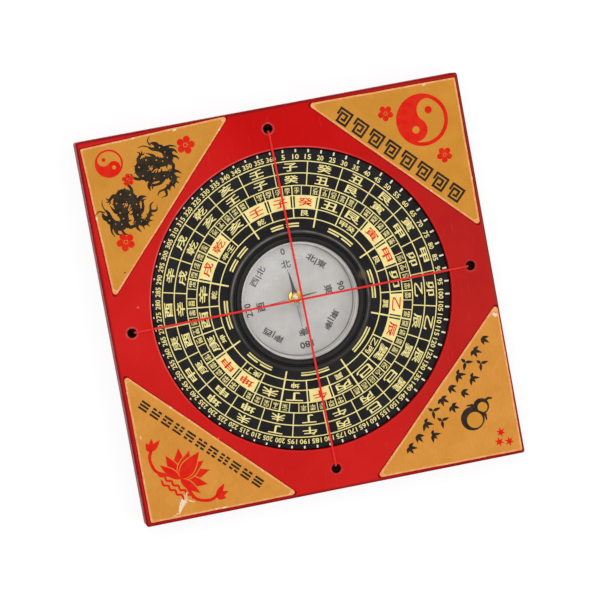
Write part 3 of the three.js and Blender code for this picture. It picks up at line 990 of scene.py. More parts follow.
# A climbing dragon about its middle: back, limbs and wisps as lines with half widths
DRAGON_BACK = [
    (6.3, -4.4, 0.08), (5.6, -3.1, 0.3), (6.0, -1.6, 0.5), (4.9, -0.3, 0.72), (3.1, -0.8, 0.95),
    (1.9, -2.5, 1.1), (-0.2, -3.5, 1.2), (-2.3, -2.7, 1.25), (-2.7, -0.7, 1.2), (-1.2, 0.6, 1.15),
    (0.5, 1.3, 1.08), (0.9, 3.0, 0.98), (-0.6, 4.1, 0.9), (-2.3, 3.9, 0.8),
]
DRAGON_LIMBS = [
    [(-2.6, -1.8, 0.5), (-4.2, -1.2, 0.42), (-4.7, 0.1, 0.32)],
    [(-0.4, -3.6, 0.5), (-0.8, -5.0, 0.42), (-2.3, -5.5, 0.32)],
    [(3.4, -1.2, 0.45), (3.7, -3.1, 0.4), (2.9, -4.4, 0.3)],
    [(0.7, 1.6, 0.5), (2.6, 2.3, 0.42), (3.5, 1.5, 0.32)],
]
DRAGON_WISPS = [
    [(-1.2, 4.5, 0.3), (0.2, 5.4, 0.22), (1.6, 5.2, 0.05)],
    [(-1.8, 4.6, 0.26), (-0.9, 5.9, 0.18), (0.4, 6.4, 0.04)],
    [(-0.4, 3.4, 0.3), (1.9, 4.3, 0.2), (3.0, 4.0, 0.04)],
    [(-4.6, 3.4, 0.12), (-5.9, 4.0, 0.1), (-6.3, 5.3, 0.04)],
    [(-4.4, 2.9, 0.12), (-5.8, 2.3, 0.1), (-6.4, 1.2, 0.04)],
    [(5.9, -4.0, 0.24), (6.9, -4.9, 0.16), (6.4, -6.0, 0.04)],
    [(5.7, -3.8, 0.22), (5.0, -5.0, 0.16), (5.4, -6.1, 0.04)],
    [(3.6, -0.6, 0.4), (4.3, 1.2, 0.3), (5.8, 1.5, 0.05)],
    [(1.6, -3.0, 0.45), (2.0, -5.0, 0.3), (3.2, -6.0, 0.05)],
    [(-0.9, 0.8, 0.4), (-2.3, 1.6, 0.28), (-4.0, 1.2, 0.05)],
    [(0.2, -1.6, 0.12), (0.1, -0.5, 0.3), (1.2, -0.2, 0.05)],
]
DRAGON_HEAD = [
    (-1.7, 4.8), (-2.6, 5.0), (-3.2, 4.7), (-3.9, 4.9), (-4.6, 4.6), (-5.1, 4.0), (-4.9, 3.7),
    (-4.0, 3.8), (-3.5, 3.5), (-4.1, 3.1), (-4.8, 2.9), (-4.4, 2.5), (-3.4, 2.5), (-2.3, 3.0),
    (-1.5, 3.4),
]


# Half widths are drawn this much wider than listed
BODY_SWELL = 1.06
WISP_SWELL = 1.35
SPINES = ((1, 0.95), (-1, 0.4))
CLAW_SWINGS = (-0.9, -0.1, 0.75)


def brushed(line, put, sides=12):
    """Outlines that together fill a stroke of changing half width: discs with strips between them"""
    outlines = [[put(*point) for point in round_points(*disc, sides)] for disc in line]
    for (x0, y0, wide0), (x1, y1, wide1) in zip(line, line[1:]):
        size = math.hypot(x1 - x0, y1 - y0) or 1
        nx, ny = -(y1 - y0) / size, (x1 - x0) / size
        outlines.append([
            put(x0 + nx * wide0, y0 + ny * wide0), put(x0 - nx * wide0, y0 - ny * wide0),
            put(x1 - nx * wide1, y1 - ny * wide1), put(x1 + nx * wide1, y1 + ny * wide1),
        ])
    return outlines


def dragon(ink, gold, put):
    """Silhouette with a spined back, claws, horns and whiskers; put places a local point"""
    back = [(x, y, BODY_SWELL * wide) for x, y, wide in spline(DRAGON_BACK, 6)]
    outlines = brushed(back, put)
    for index in range(4, len(back) - 3, 3):
        x, y, width = back[index]
        ax, ay, _ = back[index + 2]
        size = math.hypot(ax - x, ay - y)
        tx, ty = (ax - x) / size, (ay - y) / size
        for side, length in SPINES:
            nx, ny = ty * side, -tx * side
            base = width * 0.85
            outlines.append([
                put(x + nx * base, y + ny * base),
                put(x + tx * 0.6 + nx * base, y + ty * 0.6 + ny * base),
                put(x + nx * (width + length) - tx * 0.25, y + ny * (width + length) - ty * 0.25),
            ])
        if index % 2:
            gold.disc(*put(x - ty * 0.3 * width, y + tx * 0.3 * width), 0.16 * width, 1, 10)
    for limb in DRAGON_LIMBS:
        line = spline(limb, 5)
        outlines += brushed(line, put)
        (x0, y0, _), (x, y, _) = line[-3], line[-1]
        heading = math.atan2(y - y0, x - x0)
        for swing in CLAW_SWINGS:
            aim = heading + swing
            outlines += brushed([
                (x, y, 0.22), (x + 0.7 * math.cos(aim), y + 0.7 * math.sin(aim), 0.16),
                (x + 1.2 * math.cos(aim + 0.4), y + 1.2 * math.sin(aim + 0.4), 0.03),
            ], put)
    for wisp in DRAGON_WISPS:
        outlines += brushed([(x, y, WISP_SWELL * wide) for x, y, wide in spline(wisp, 6)], put, 8)
    outlines.append([put(x, y) for x, y in DRAGON_HEAD])
    ink.merged(outlines)
    gold.disc(*put(-2.6, 4.1), 0.2, 1, 10)


def petal_outline(east, north, length, width, bearing, steps=10):
    """Pointed petal that grows from its base along a bearing"""
    place = along_bearing(east, north, bearing)
    sides = []
    for side in (1, -1):
        shares = [step / steps for step in range(steps + 1)]
        bulges = [side * width / 2 * math.sin(math.pi * t ** 0.8) * (1.1 - 0.25 * t) for t in shares]
        sides.append([place(length * t, bulge) for t, bulge in zip(shares, bulges)])
    return sides[0] + sides[1][-2:0:-1]


# Rows of petals from the back to the front: swings, length, width and order of printing
LOTUS_PETALS = [
    ([-38, 38], 0.62, 0.25, 0), ([-66, 66], 0.56, 0.22, 1), ([-17, 17], 0.6, 0.24, 2),
    ([0], 0.66, 0.28, 3), ([-90, 90], 0.5, 0.16, 4),
]
LOTUS_BUDS = [(-4, 0.3), (30, 0.26), (62, 0.2)]
LOTUS_STEM = [(-0.27, 0.2), (-0.36, 0.48), (-0.24, 0.72), (-0.08, 0.8)]
LOTUS_WAVES = [(-0.37, 0.44), (-0.48, 0.3)]


def lotus(red, gold, east, north, size, bearing):
    """Open lotus over two rows of water, with a gold gap round each nearer petal"""
    def place(along, across):
        return along_bearing(east, north, bearing)(along * size, across * size)

    root = place(-0.22, 0)
    for swings, length, width, order in LOTUS_PETALS:
        for swing in swings:
            gap = petal_outline(*root, length * size + 0.25, width * size + 0.45, bearing + swing)
            leaf = petal_outline(*root, length * size, width * size, bearing + swing)
            gold.area(gap, 2 * order)
            red.area(leaf, 2 * order + 1)
    for side in (1, -1):
        stem = spline([(along, side * across) for along, across in LOTUS_STEM], 6)
        red.ribbon([place(*point) for point in stem], [0.03 * size] * len(stem), 10)
        for swing, length in LOTUS_BUDS:
            bud = petal_outline(*place(-0.1, 0.8 * side), length * size, 0.11 * size,
                                bearing + side * swing)
            red.area(bud, 11 + swing // 30)
    for row, reach in LOTUS_WAVES:
        shares = [reach * (step / 30 - 1) for step in range(61)]
        wave = [place(row + 0.022 * math.sin(38 * share), share) for share in shares]
        red.ribbon(wave, [0.022 * size] * len(wave), row < -0.4)


def gourd(ink, gold, east, north, size, bearing):
    """Bottle gourd with a stalk and a tied waist, dark on one side"""
    def place(along, across):
        return along_bearing(east, north, bearing)(along * size, across * size)

    def stroke(line, layer):
        ink.ribbon([place(a, b) for a, b, _ in line], [wide * size for _, _, wide in line], layer)

    lower, upper = -0.32, 0.42
    ink.disc(*place(lower, 0), 0.6 * size)
    ink.disc(*place(upper, 0), 0.4 * size, 1)
    gold.disc(*place(lower, 0.13), 0.4 * size, 2)
    gold.disc(*place(upper, 0.08), 0.25 * size, 2)
    stroke([(0.78, 0, 0.07), (0.96, 0.06, 0.06), (1.06, 0.22, 0.04)], 3)
    for side in (1, -1):
        stroke([(0.12, 0, 0.06), (0.2, 0.42 * side, 0.07), (0.02, 0.62 * side, 0.03)], 4)


BAMBOO_SPRIGS = [
    [(-42, 1.0), (0, 1.2), (36, 0.95)],
    [(-74, 0.85), (-24, 1.15), (22, 1.05), (70, 0.8)],
    [(-52, 1.05), (50, 1.1), (176, 0.7)],
    [(-30, 1.2), (14, 0.9), (58, 1.1), (-100, 0.7)],
]


def bamboo(ink, east, north, size, turn, sprig):
    """Brushed leaves that spread from one point"""
    for layer, (swing, length) in enumerate(sprig):
        ink.area(petal_outline(east, north, length * size, 0.4 * size, turn + swing, 6), layer)


def star(ink, east, north, size):
    for layer, turn in enumerate((8, 68, 128)):
        diamond(ink, east, north, size, 0.34 * size, turn, layer)


def blot(ink, east, north, long, wide, turn):
    """Small ragged spot"""
    put = set_down(east, north, turn)
    outline = []
    for step in range(11):
        swing = 2 * math.pi * step / 11
        reach = 1 + 0.3 * math.sin(2.7 * step + east)
        outline.append(put(long * reach * math.cos(swing), wide * reach * math.sin(swing)))
    ink.area(outline, 1)


def between(first, last, count):
    for step in range(count):
        share = step / (count - 1)
        yield tuple(a + (b - a) * share for a, b in zip(first, last))


# The north-west sheet's first dragon; the second is its mirror image across the sheet
DRAGON_EAST, DRAGON_NORTH, DRAGON_TURN = -30.6, 40.6, -48
DRAGON_STRETCH_EAST, DRAGON_STRETCH_NORTH = 1.18, 0.94


def north_west_print(black, red, gold):
    swing = set_down(0, 0, DRAGON_TURN)

    def upright(x, y):
        east, north = swing(x, y)
        return DRAGON_EAST + DRAGON_STRETCH_EAST * east, DRAGON_NORTH + DRAGON_STRETCH_NORTH * north

    def mirrored(x, y):
        east, north = upright(x, y)
        return -north, -east

    dragon(black, gold, upright)
    dragon(black, gold, mirrored)
    taiji(red, gold, -42.5, 43.3, 3.6, -45, 0.48)
    blossom(red, -38.4, 38.4, 1.8, 0)
    blossom(red, -22.4, 44.4, 2.7, 20)
    blossom(red, -41.9, 22.9, 2.7, -20)


def north_east_print(black, red, gold):
    taiji(red, gold, 38.85, 39.6, 6.75, 42, 0.98)
    blossom(red, 29.8, 42.9, 2.3, 45)
    blossom(red, 43.0, 29.7, 2.3, 45)
    for east, north in between((18.9, 44.0), (44.0, 19.6), 8):
        fret(black, east, north, 3.4, -45)


def south_west_print(black, red, gold):
    for lines, (east, north) in zip(BAR_SIGNS, between((-45.0, -19.3), (-19.9, -43.9), 11)):
        bar_sign(black, east, north, lines, 2.6, -45)
    lotus(red, gold, -37.4, -37.4, 12.9, 45)


def south_east_print(black, red, gold):
    gourd(black, gold, 39.2, -37.5, 5.2, 45)
    for index, (east, north) in enumerate(between((43.9, -18.6), (20.2, -42.8), 10)):
        bamboo(black, east, north, 2.1, 130 + 9 * (index % 3), BAMBOO_SPRIGS[index % 4])
    for index, (east, north) in enumerate(between((42.6, -25.0), (26.8, -40.8), 6)):
        bamboo(black, east, north, 2.0, 138 - 8 * (index % 3), BAMBOO_SPRIGS[(index + 2) % 4])
    for east, north in ((44.6, -43.6), (43.8, -46.0), (46.4, -46.3)):
        star(red, east, north, 1.3)


def corner_print():
    inks = black, red, gold = Ink(sheet_top), Ink(sheet_top), Ink(sheet_top)
    for printed in (north_west_print, north_east_print, south_west_print, south_east_print):
        printed(*inks)
    sheet_black = print_ink("sheet_black_ink", (32, 26, 22), (82, 64, 42), 0.35)
    black.piece("corner_print_black", sheet_black, "plate", "black_ink")
    sheet_red = print_ink("sheet_red_ink", (222, 20, 10), (228, 62, 24), 0.3)
    red.piece("corner_print_red", sheet_red, "plate", "red_ink")
    sheet_gold = print_ink("sheet_gold_ink", (214, 146, 50), (204, 134, 42), 0.3)
    gold.piece("corner_print_gold", sheet_gold, "plate", "gold_ink")


# Plate, cover and screws

RECESS_GAP = 0.16
recess_radius = disc_radius + RECESS_GAP
recess_floor = low_of("dial_washer")[2]
BORE_RADIUS = 17.1
POCKET_RADIUS = 20
POCKET_TOP = 2.9
HOLE_DISTANCE = 44.6
HOLE_RADIUS = 1.2
KNOT_POCKET_RADIUS = 2.55
KNOT_POCKET_TOP = 4.4
# Each thread and its two holes are turned by this about the middle, counter-clockwise from east
THREAD_TURNS = {"ew": 0.4, "ns": 91}
# Roundings of edges, and of the corners of the square pieces
HOLE_EDGE = 0.4
RECESS_EDGE = 0.2
PLATE_CORNER, PLATE_EDGE = 0.65, 0.3
REBATE_GAP, REBATE_CORNER = 0.3, 2.8
COVER_CORNER, COVER_EDGE = 2.5, 0.2
SCREW_PLACE = 42.5
SCREW_HOLE_RADIUS, SCREW_HOLE_TOP = 0.95, 5.8
SEAT_MOUTH, SEAT_RADIUS = 2.25, 2.05
SCREW_HEAD_RADIUS, SCREW_SHANK_RADIUS = 1.9, 0.8
SLOT_HALF_LENGTH, SLOT_HALF_WIDTH, SLOT_DEPTH = 2.4, 0.25, 0.4
SLOT_TURNS = (17, 64, -38, 96)
# How far a cutter runs on past the surface that it cuts
OVERRUN = 1
FOUR_CORNERS = {"ne": (1, 1), "nw": (-1, 1), "sw": (-1, -1), "se": (1, -1)}


def at_screws(solid):
    return joined([moved(solid, e * SCREW_PLACE, n * SCREW_PLACE) for e, n in FOUR_CORNERS.values()])


def flared(radius, top, edge):
    """Upper end of a bore whose mouth is rounded out into the surface"""
    mouth = [(radius + inset, top - drop) for drop, inset in quarter_round(edge)]
    return [*mouth, (radius + edge, top + OVERRUN), (0, top + OVERRUN)]


def plate_piece():
    blank = eased_square(plate_half, PLATE_CORNER, 0, plate_top, PLATE_EDGE)
    rebate_half = cover_half + REBATE_GAP
    rebate = loft([square_loop(rebate_half, REBATE_CORNER, z) for z in (-OVERRUN, cover_top)])
    well = lathe([
        (0, -OVERRUN), (POCKET_RADIUS, -OVERRUN), (POCKET_RADIUS, POCKET_TOP),
        (BORE_RADIUS, POCKET_TOP), (BORE_RADIUS, recess_floor), (recess_radius, recess_floor),
        *flared(recess_radius, plate_top, RECESS_EDGE),
    ], closed=False)
    hole = lathe([
        (0, 0), (KNOT_POCKET_RADIUS, 0), (KNOT_POCKET_RADIUS, KNOT_POCKET_TOP),
        (HOLE_RADIUS, KNOT_POCKET_TOP), *flared(HOLE_RADIUS, plate_top, HOLE_EDGE),
    ], SMALL_STEPS, closed=False)
    holes = joined([moved(moved(hole, side * HOLE_DISTANCE), turn=turn)
                    for turn in THREAD_TURNS.values() for side in (1, -1)])
    pilots = at_screws(bore(SCREW_HOLE_RADIUS, 0, SCREW_HOLE_TOP, 24))
    solid = carved(blank, [rebate, well, holes, pilots])
    weigh_normals(as_piece("plate", solid, [red_lacquer()], "plate", ["base_plate"]))


def cover_piece():
    sheet = eased_square(cover_half, COVER_CORNER, 0, cover_top, COVER_EDGE)
    seat = lathe([
        (0, -OVERRUN), (SEAT_MOUTH, -OVERRUN), (SEAT_MOUTH, 0), (SEAT_RADIUS, 0.2), (SEAT_RADIUS, 0.45),
        (SCREW_HOLE_RADIUS, 1.0), (SCREW_HOLE_RADIUS, cover_top + OVERRUN), (0, cover_top + OVERRUN),
    ], SMALL_STEPS, closed=False)
    solid = carved(sheet, [at_screws(seat)])
    weigh_normals(as_piece("cover", solid, [cover_board()], "plate", ["back_cover"]))


def screw_pieces():
    """Slotted countersunk screws, each with its slot at the angle where it was tightened"""
    steel = metal("screw_steel", (132, 134, 138), (182, 184, 188), 0.34, 20)
    for (side, (east, north)), slot_turn in zip(FOUR_CORNERS.items(), SLOT_TURNS):
        node = "cover_screw_" + side
        low, high = low_of(node)[2], high_of(node)[2]
        outline = eased([
            (0, low, 0), (SCREW_HEAD_RADIUS, low, 0.12), (SCREW_HEAD_RADIUS, low + 0.35, 0.05),
            (SCREW_SHANK_RADIUS, low + 0.9, 0.05), (SCREW_SHANK_RADIUS, high - 0.8, 0.05), (0, high, 0),
        ])
        groove = loft([level_corners(SLOT_HALF_LENGTH, SLOT_HALF_WIDTH, z)
                       for z in (low - SLOT_DEPTH, low + SLOT_DEPTH)])
        solid = carved(lathe(outline, SMALL_STEPS, closed=False), [moved(groove, turn=slot_turn)])
        solid = moved(solid, east * SCREW_PLACE, north * SCREW_PLACE)
        as_piece("screw_" + side, solid, [steel], "plate", [node])


# Corner sheets

# Width of the painted contact shadow round each sheet
CONTACT_SHADOW_WIDTH = 0.22
# A sheet's outlines from its underside up, as inset and height: cut edge, bevel and rounded rim
SHEET_STEPS = ((0, 0), (0, 0.22), (0.12, 0.34), (0.46, 0.4))
RIGHT_CORNER_RADIUS, TIP_RADIUS = 0.35, 0.7
CUT_WAVE = 0.035
CUT_STEPS = 48
# For each sheet: its corner of the plate, turn, insets from the plate's two sides, and leg
SHEET_PLACES = {
    "nw": (-1, 1, 2.3, 0.95, 1.8, 39.05),
    "ne": (1, 1, -0.3, 0.8, 1.2, 39.1),
    "sw": (-1, -1, 0, 1.2, 0.95, 38.8),
    "se": (1, -1, -0.3, 0.6, 0.75, 38.9),
}


def triangle_loop(full_leg, inset, height, phase):
    """Outline of a hand-cut sheet, drawn in from its edges by inset"""
    leg = full_leg - inset - inset * (1 + math.sqrt(2))
    outline = eased([
        (inset, inset, RIGHT_CORNER_RADIUS), (inset + leg, inset, TIP_RADIUS),
        (inset, inset + leg, TIP_RADIUS),
    ], closed=True)
    loop = []
    for index, (x0, y0) in enumerate(outline):
        x1, y1 = outline[(index + 1) % len(outline)]
        size = math.hypot(x1 - x0, y1 - y0)
        nx, ny = (y1 - y0) / size, -(x1 - x0) / size
        steps = CUT_STEPS if size > 5 else 1
        for step in range(steps):
            t = step / steps
            swing = math.sin(11 * t + phase) + 0.6 * math.sin(29 * t + 2 * phase)
            wave = math.sin(math.pi * t) * CUT_WAVE * swing
            loop.append([x0 + (x1 - x0) * t - nx * wave, y0 + (y1 - y0) * t - ny * wave, height])
    return loop


def sheet_pieces():
    gold, edge, contact_shadow = gold_sheet(), cut_edge(), glue_line()
    for index, (side, place) in enumerate(SHEET_PLACES.items()):
        east, north, turn, inset_east, inset_north, leg = place
        phase = 1.7 * index
        corner = (east * (plate_half - inset_east), north * (plate_half - inset_north))
        turn += math.degrees(math.atan2(-north, -east)) - 45
        loops = [triangle_loop(leg, inset, plate_top + z, phase) for inset, z in SHEET_STEPS]
        sides = range(3 * len(loops[0]))
        as_piece("sheet_" + side, moved(loft(loops), *corner, turn), [gold, edge], "plate",
                 ["corner_plate_" + side], second=sides)
        # Painted contact shadow: a thin dark red strip round each sheet
        shadow_strip = loft([triangle_loop(leg, -CONTACT_SHADOW_WIDTH, plate_top + z, phase)
                      for z in (-INK_SINK, INK_RISE)])
        as_piece("glue_" + side, moved(shadow_strip, *corner, turn), [contact_shadow], "plate")


# Strokes of the scraped patch at the south-west sheet's lower edge, with half widths
SCRAPE_STREAKS = [
    [(-37.6, -43.3, 0.5), (-38.4, -44.8, 0.75), (-39.4, -46.2, 0.5), (-40.2, -47.9, 0.12)],
    [(-37.9, -44.0, 0.2), (-36.8, -45.0, 0.16), (-35.5, -45.6, 0.04)],
    [(-40.4, -47.6, 0.16), (-41.6, -48.1, 0.12), (-42.4, -48.2, 0.04)],
    [(-37.2, -42.6, 0.1), (-37.5, -43.4, 0.22), (-38.0, -44.2, 0.2)],
]
SCRAPE_EAST, SCRAPE_NORTH = -1.1, -0.35
# Chips of the sheets' rims, as east, north, half length, half width and turn
SHEET_CHIPS = [
    (-24.5, 48.7, 0.5, 0.28, 3), (40.9, 48.4, 0.5, 0.26, 0), (48.9, 22.5, 0.2, 0.5, 0),
    (48.5, -13.3, 0.5, 0.95, 60), (-47.4, -27.0, 0.2, 0.5, 0),
]


def scrape_piece():
    """Scraped patch, and small chips and specks"""
    bare, dark, pale = Ink(sheet_top), Ink(sheet_top), Ink(plate_top)
    for layer, streak in enumerate(SCRAPE_STREAKS):
        line = spline(streak, 6)
        widths = [w * (1 + 0.25 * math.sin(2.3 * i)) for i, (_, _, w) in enumerate(line)]
        bare.ribbon([(x + SCRAPE_EAST, y + SCRAPE_NORTH) for x, y, _ in line], widths, layer)
    for chip in SHEET_CHIPS:
        blot(bare, *chip)
    bare.piece("sheet_scrape", bare_scrape(), "plate", "gold_sheet")
    blot(dark, -43.6, 15.3, 0.22, 0.2, 0)
    brown = print_ink("speck_brown", (74, 46, 26), (96, 60, 34))
    dark.piece("sheet_speck", brown, "plate", "black_ink")
    blot(pale, -28.0, -31.3, 0.75, 0.22, 45)
    blot(pale, -41.9, 5.9, 0.3, 0.26, 0)
    pink = print_ink("chip_pink", (232, 110, 84), (220, 70, 62))
    pale.piece("plate_chips", pink, "plate", "red_plate")


# Dial and capsule

# Radii of the turned pieces, from the middle outwards
CARD_WELL = 14.4
CUP_INNER = 14.58
POOL_OPENING = 15.15
SEAL_INNER = 15.85
CLIP_GROOVE = 16.2
CUP_MOUTH = 16.35
CUP_OUTER = 16.8
DISC_BORE = 16.95
CUP_FLANGE = 17.6
DISC_REBATE = 17.75
PRINT_INNER = 17.9
# Heights of the cup's ledge, its flange and its groove for the snap ring
CUP_LEDGE = 5.9
FLANGE_BOTTOM = 6.15
CLIP_BOTTOM, CLIP_TOP = 1.8, 2.4
REBATE_DEPTH = 0.4
# The bezel's groove and its outer shoulder, which carry painted shade and a painted highlight
GROOVE_RADIUS = 16.8
SHOULDER_RADIUS = 17.8
GROOVE_DEPTH = 0.35
# The glazed pool and its ring were set a little off the dial's axis
POOL_EAST, POOL_NORTH = -0.5, -0.28


def dial_pieces():
    body = dial_black("dial_body_black", (15, 15, 18), (26, 25, 29), 0.42)
    face = dial_black("dial_face_black", (21, 20, 22), (34, 32, 34), 0.46)
    turned_piece("dial_body", [
        (DISC_BORE, disc_bottom, 0.05), (disc_radius - 0.3, disc_bottom, 0.05),
        (disc_radius, disc_bottom + 0.3, 0.1), (disc_radius, disc_top - 0.1, 0.1),
        (disc_radius - 0.12, disc_top, 0.06), (DISC_REBATE, disc_top, 0.05),
        (DISC_REBATE, disc_top - REBATE_DEPTH, 0), (DISC_BORE, disc_top - REBATE_DEPTH, 0.05),
    ], body, "dial", ["dial_disc"], closed=True)
    turned_piece("dial_sheet", [
        (PRINT_INNER, disc_top, 0), (face_radius, disc_top, 0), (face_radius, face_top, 0.08),
        (PRINT_INNER, face_top, 0.05),
    ], face, "dial", ["dial_face"], closed=True)
    dial_print()


def aside(solid, wanted):
    """Moves the wanted points of a turned form to the pool's own middle"""
    points, faces = solid
    shifted = [[x + POOL_EAST, y + POOL_NORTH, z] if wanted(math.hypot(x, y), z) else [x, y, z]
               for x, y, z in points]
    return shifted, faces


def cup_silver():
    """Silver paint, with painted shade in the corner round the card and along the wall's upper edge"""
    f = Finish("cup_silver", Specular_IOR_Level=0.3)
    base = f.ground((233, 224, 218), (241, 233, 228), 5, 5)
    wall = f.reach(from_middle(f, POOL_EAST, POOL_NORTH), CUP_INNER + 0.01, CUP_INNER - 0.03)
    # Painted shade: darker low on the wall by the card and in a band below the ledge
    low = f.reach(f.up, card_top + 0.9, card_top + 0.4, 0, 0.7)
    brim_shade = f.reach(f.apart(f.up, CUP_LEDGE - 0.7), 0.6, 0.2, 0, 0.6)
    f.paint(f.mix(f.times(wall, f.sum("MAXIMUM", low, brim_shade)), base, (116, 114, 114)))
    f.satin(1.2, 3, 0.38, 0.52)
    f.grain(0.35, 2, 0.005)
    return f.material


def cup_piece():
    outline = eased([
        (0, cup_bottom, 0), (CLIP_GROOVE, cup_bottom, 0.1), (CUP_OUTER, cup_bottom + 0.15, 0.1),
        (CUP_OUTER, CLIP_BOTTOM, 0.03), (CLIP_GROOVE, CLIP_BOTTOM, 0.03),
        (CLIP_GROOVE, CLIP_TOP, 0.03), (CUP_OUTER, CLIP_TOP, 0.03), (CUP_OUTER, FLANGE_BOTTOM, 0.05),
        (CUP_FLANGE, FLANGE_BOTTOM, 0.05), (CUP_FLANGE, disc_top, 0.06), (CUP_MOUTH, disc_top, 0.05),
        (CUP_MOUTH, CUP_LEDGE, 0), (CUP_INNER, CUP_LEDGE, 0.08), (CARD_WELL + 0.05, card_top + 0.3, 0.2),
        (CARD_WELL, card_bottom, 0.05), (0, card_bottom, 0),
    ])
    bowl = aside(lathe(outline, closed=False),
                 lambda radius, height: radius < POOL_OPENING and height > cup_bottom + 0.2)
    as_piece("cup", bowl, [cup_silver()], "dial", ["capsule_cup"])


PIN_BORE_RADIUS = 1.65


def card_piece():
    paper = silver_satin("card_silver", (210, 204, 200), (219, 214, 210))
    outline = eased([
        (0, card_bottom, 0), (card_radius, card_bottom, 0), (card_radius, card_top, 0.06),
        (0, card_top, 0),
    ])
    hole = bore(PIN_BORE_RADIUS, card_bottom - OVERRUN, card_top + OVERRUN)
    solid = carved(moved(lathe(outline, closed=False), POOL_EAST, POOL_NORTH),
                   [moved(hole, pivot_east, pivot_north)])
    as_piece("card", solid, [paper], "dial", ["compass_card"])


# The card's print was set down a little off the middle
CARD_PRINT_EAST, CARD_PRINT_NORTH, CARD_PRINT_TURN = -1.2, 0.27, -4.3
CARD_DEGREES, CARD_DEGREE_PITCH, CARD_DEGREE_HEIGHT = 12.4, 1.2, 1.8
CARD_SIGNS, CARD_SIGN_SIZE = 9.05, (2.5, 2.1)
CARD_PAIRS, CARD_PAIR_SIZE = 11.0, (5.7, 2.2)
CARD_LINE, CARD_LINE_HALF_WIDTH = (2.4, 7.7), 0.06
# Half width of the olive line at each radius: printed, and also a painted reflection of the thread
INDEX_AND_REFLECTION_LINE = {2.2: 0.24, 3.4: 0.22, 5.9: 0.12}


def on_card(bearing):
    return along_bearing(CARD_PRINT_EAST, CARD_PRINT_NORTH, bearing + CARD_PRINT_TURN)


def card_print():
    """Grey direction signs and degrees, and an olive line to the card's east that is printed and also a
    painted reflection of the thread
    """
    grey, olive = Ink(card_top, CARD_BOLDNESS), Ink(card_top)

    def label(text, radius, bearing, width, height):
        grey.text(text, *on_card(bearing)(radius), -(bearing + CARD_PRINT_TURN), width, height)

    for index, (sign, degrees) in enumerate(zip("北東南西", ("0", "90", "180", "270"))):
        width = CARD_DEGREE_PITCH * len(degrees)
        label(degrees, CARD_DEGREES, 90 * index, width, CARD_DEGREE_HEIGHT)
        label(sign, CARD_SIGNS, 90 * index, *CARD_SIGN_SIZE)
    for index, pair in enumerate(("北|東", "東|南", "南|西", "西|北")):
        label(pair, CARD_PAIRS, 45 + 90 * index, *CARD_PAIR_SIZE)
    for bearing in (0, 180, 270):
        grey.ribbon([on_card(bearing)(radius) for radius in CARD_LINE], [CARD_LINE_HALF_WIDTH] * 2, 1)
    ink = print_ink("card_grey_ink", (74, 68, 68), (146, 138, 136), 0.45)
    grey.piece("card_print", ink, "dial", "black_ink")
    # Olive line: print, and a painted reflection of the thread
    olive.ribbon([on_card(90)(radius) for radius in INDEX_AND_REFLECTION_LINE], list(INDEX_AND_REFLECTION_LINE.values()))
    ink = print_ink("olive_index_and_reflection_ink", (116, 106, 78), (168, 158, 136), 0.5)
    olive.piece("card_index_and_reflection", ink, "dial", "gold_ink")


def glass_piece():
    turned_piece("pool_glass", [
        (0, glass_bottom, 0), (glass_radius, glass_bottom, 0.08), (glass_radius, glass_top, 0.08),
        (0, glass_top, 0),
    ], clear_pane(), "dial", ["cover_glass"])


def bezel_piece():
    """Stepped ring with a groove between its inner band and its outer shoulder"""
    groove = bezel_top - GROOVE_DEPTH
    outline = eased([
        (CUP_MOUTH, disc_top, 0), (DISC_REBATE, disc_top, 0), (DISC_REBATE, face_top, 0),
        (bezel_radius, face_top, 0.06), (bezel_radius, face_top + 0.3, 0.12),
        (SHOULDER_RADIUS + 0.06, face_top + 0.5, 0.1), (17.6, bezel_top, 0.12),
        (17.2, bezel_top, 0.12), (16.95, groove, 0.08), (16.65, groove, 0.08),
        (16.4, bezel_top, 0.12), (15.75, bezel_top, 0.2), (POOL_OPENING, glass_top + 0.3, 0.12),
        (POOL_OPENING, glass_top, 0.04), (CUP_MOUTH, glass_top, 0),
    ], closed=True)
    ring = aside(lathe(outline), lambda radius, height: height > face_top - 0.01)
    as_piece("bezel", ring, [bezel_black()], "dial", ["bezel_ring"])


def seal_piece():
    outer, _, high = high_of("glass_seal")
    low = low_of("glass_seal")[2]
    corners = [(SEAL_INNER, low), (outer, low), (outer, high), (SEAL_INNER, high)]
    turned_piece("seal", [(*corner, 0.05) for corner in corners], seal_rubber(), "dial",
                 ["glass_seal"], closed=True)


PIN_FOOT_RADIUS, PIN_FOOT_HEIGHT = 1.5, 0.4
PIN_RADIUS = 0.35


def pin_piece(brass):
    foot = pin_bottom + PIN_FOOT_HEIGHT
    pivot_piece("pin", [
        (0, pin_bottom, 0), (PIN_FOOT_RADIUS, pin_bottom, 0.04), (PIN_FOOT_RADIUS, foot, 0.1),
        (PIN_RADIUS, foot, 0.12), (PIN_RADIUS, pin_top - 0.7, 0.1), (0.05, pin_top, 0.03),
        (0, pin_top, 0),
    ], brass, "dial", ["pivot_pin"])


# Needle

NEEDLE_TURN = 5
NEEDLE_HALF = 6.8
NEEDLE_HALF_WIDTH = 0.47
EYE_RADIUS = 0.9
EYE_RIM = 1.35
NEEDLE_TIP_HALF_WIDTH = 0.03
NEEDLE_EDGE = 0.1


def blade_outline(narrowing):
    """Half the lozenge's points run up one side and down the other, round the eye's rim"""
    outline = []
    steps = 20
    for side in (1, -1):
        for step in range(steps):
            along = NEEDLE_HALF * math.cos(math.pi * step / steps)
            rim_room = (EYE_RIM - narrowing) ** 2 - along ** 2
            taper = 1 - (abs(along) / NEEDLE_HALF) ** 1.4
            wide = (NEEDLE_HALF_WIDTH - narrowing) * taper + NEEDLE_TIP_HALF_WIDTH
            if rim_room > 0:
                wide = max(wide, math.sqrt(rim_room))
            outline.append((-side * wide, side * along))
    return outline


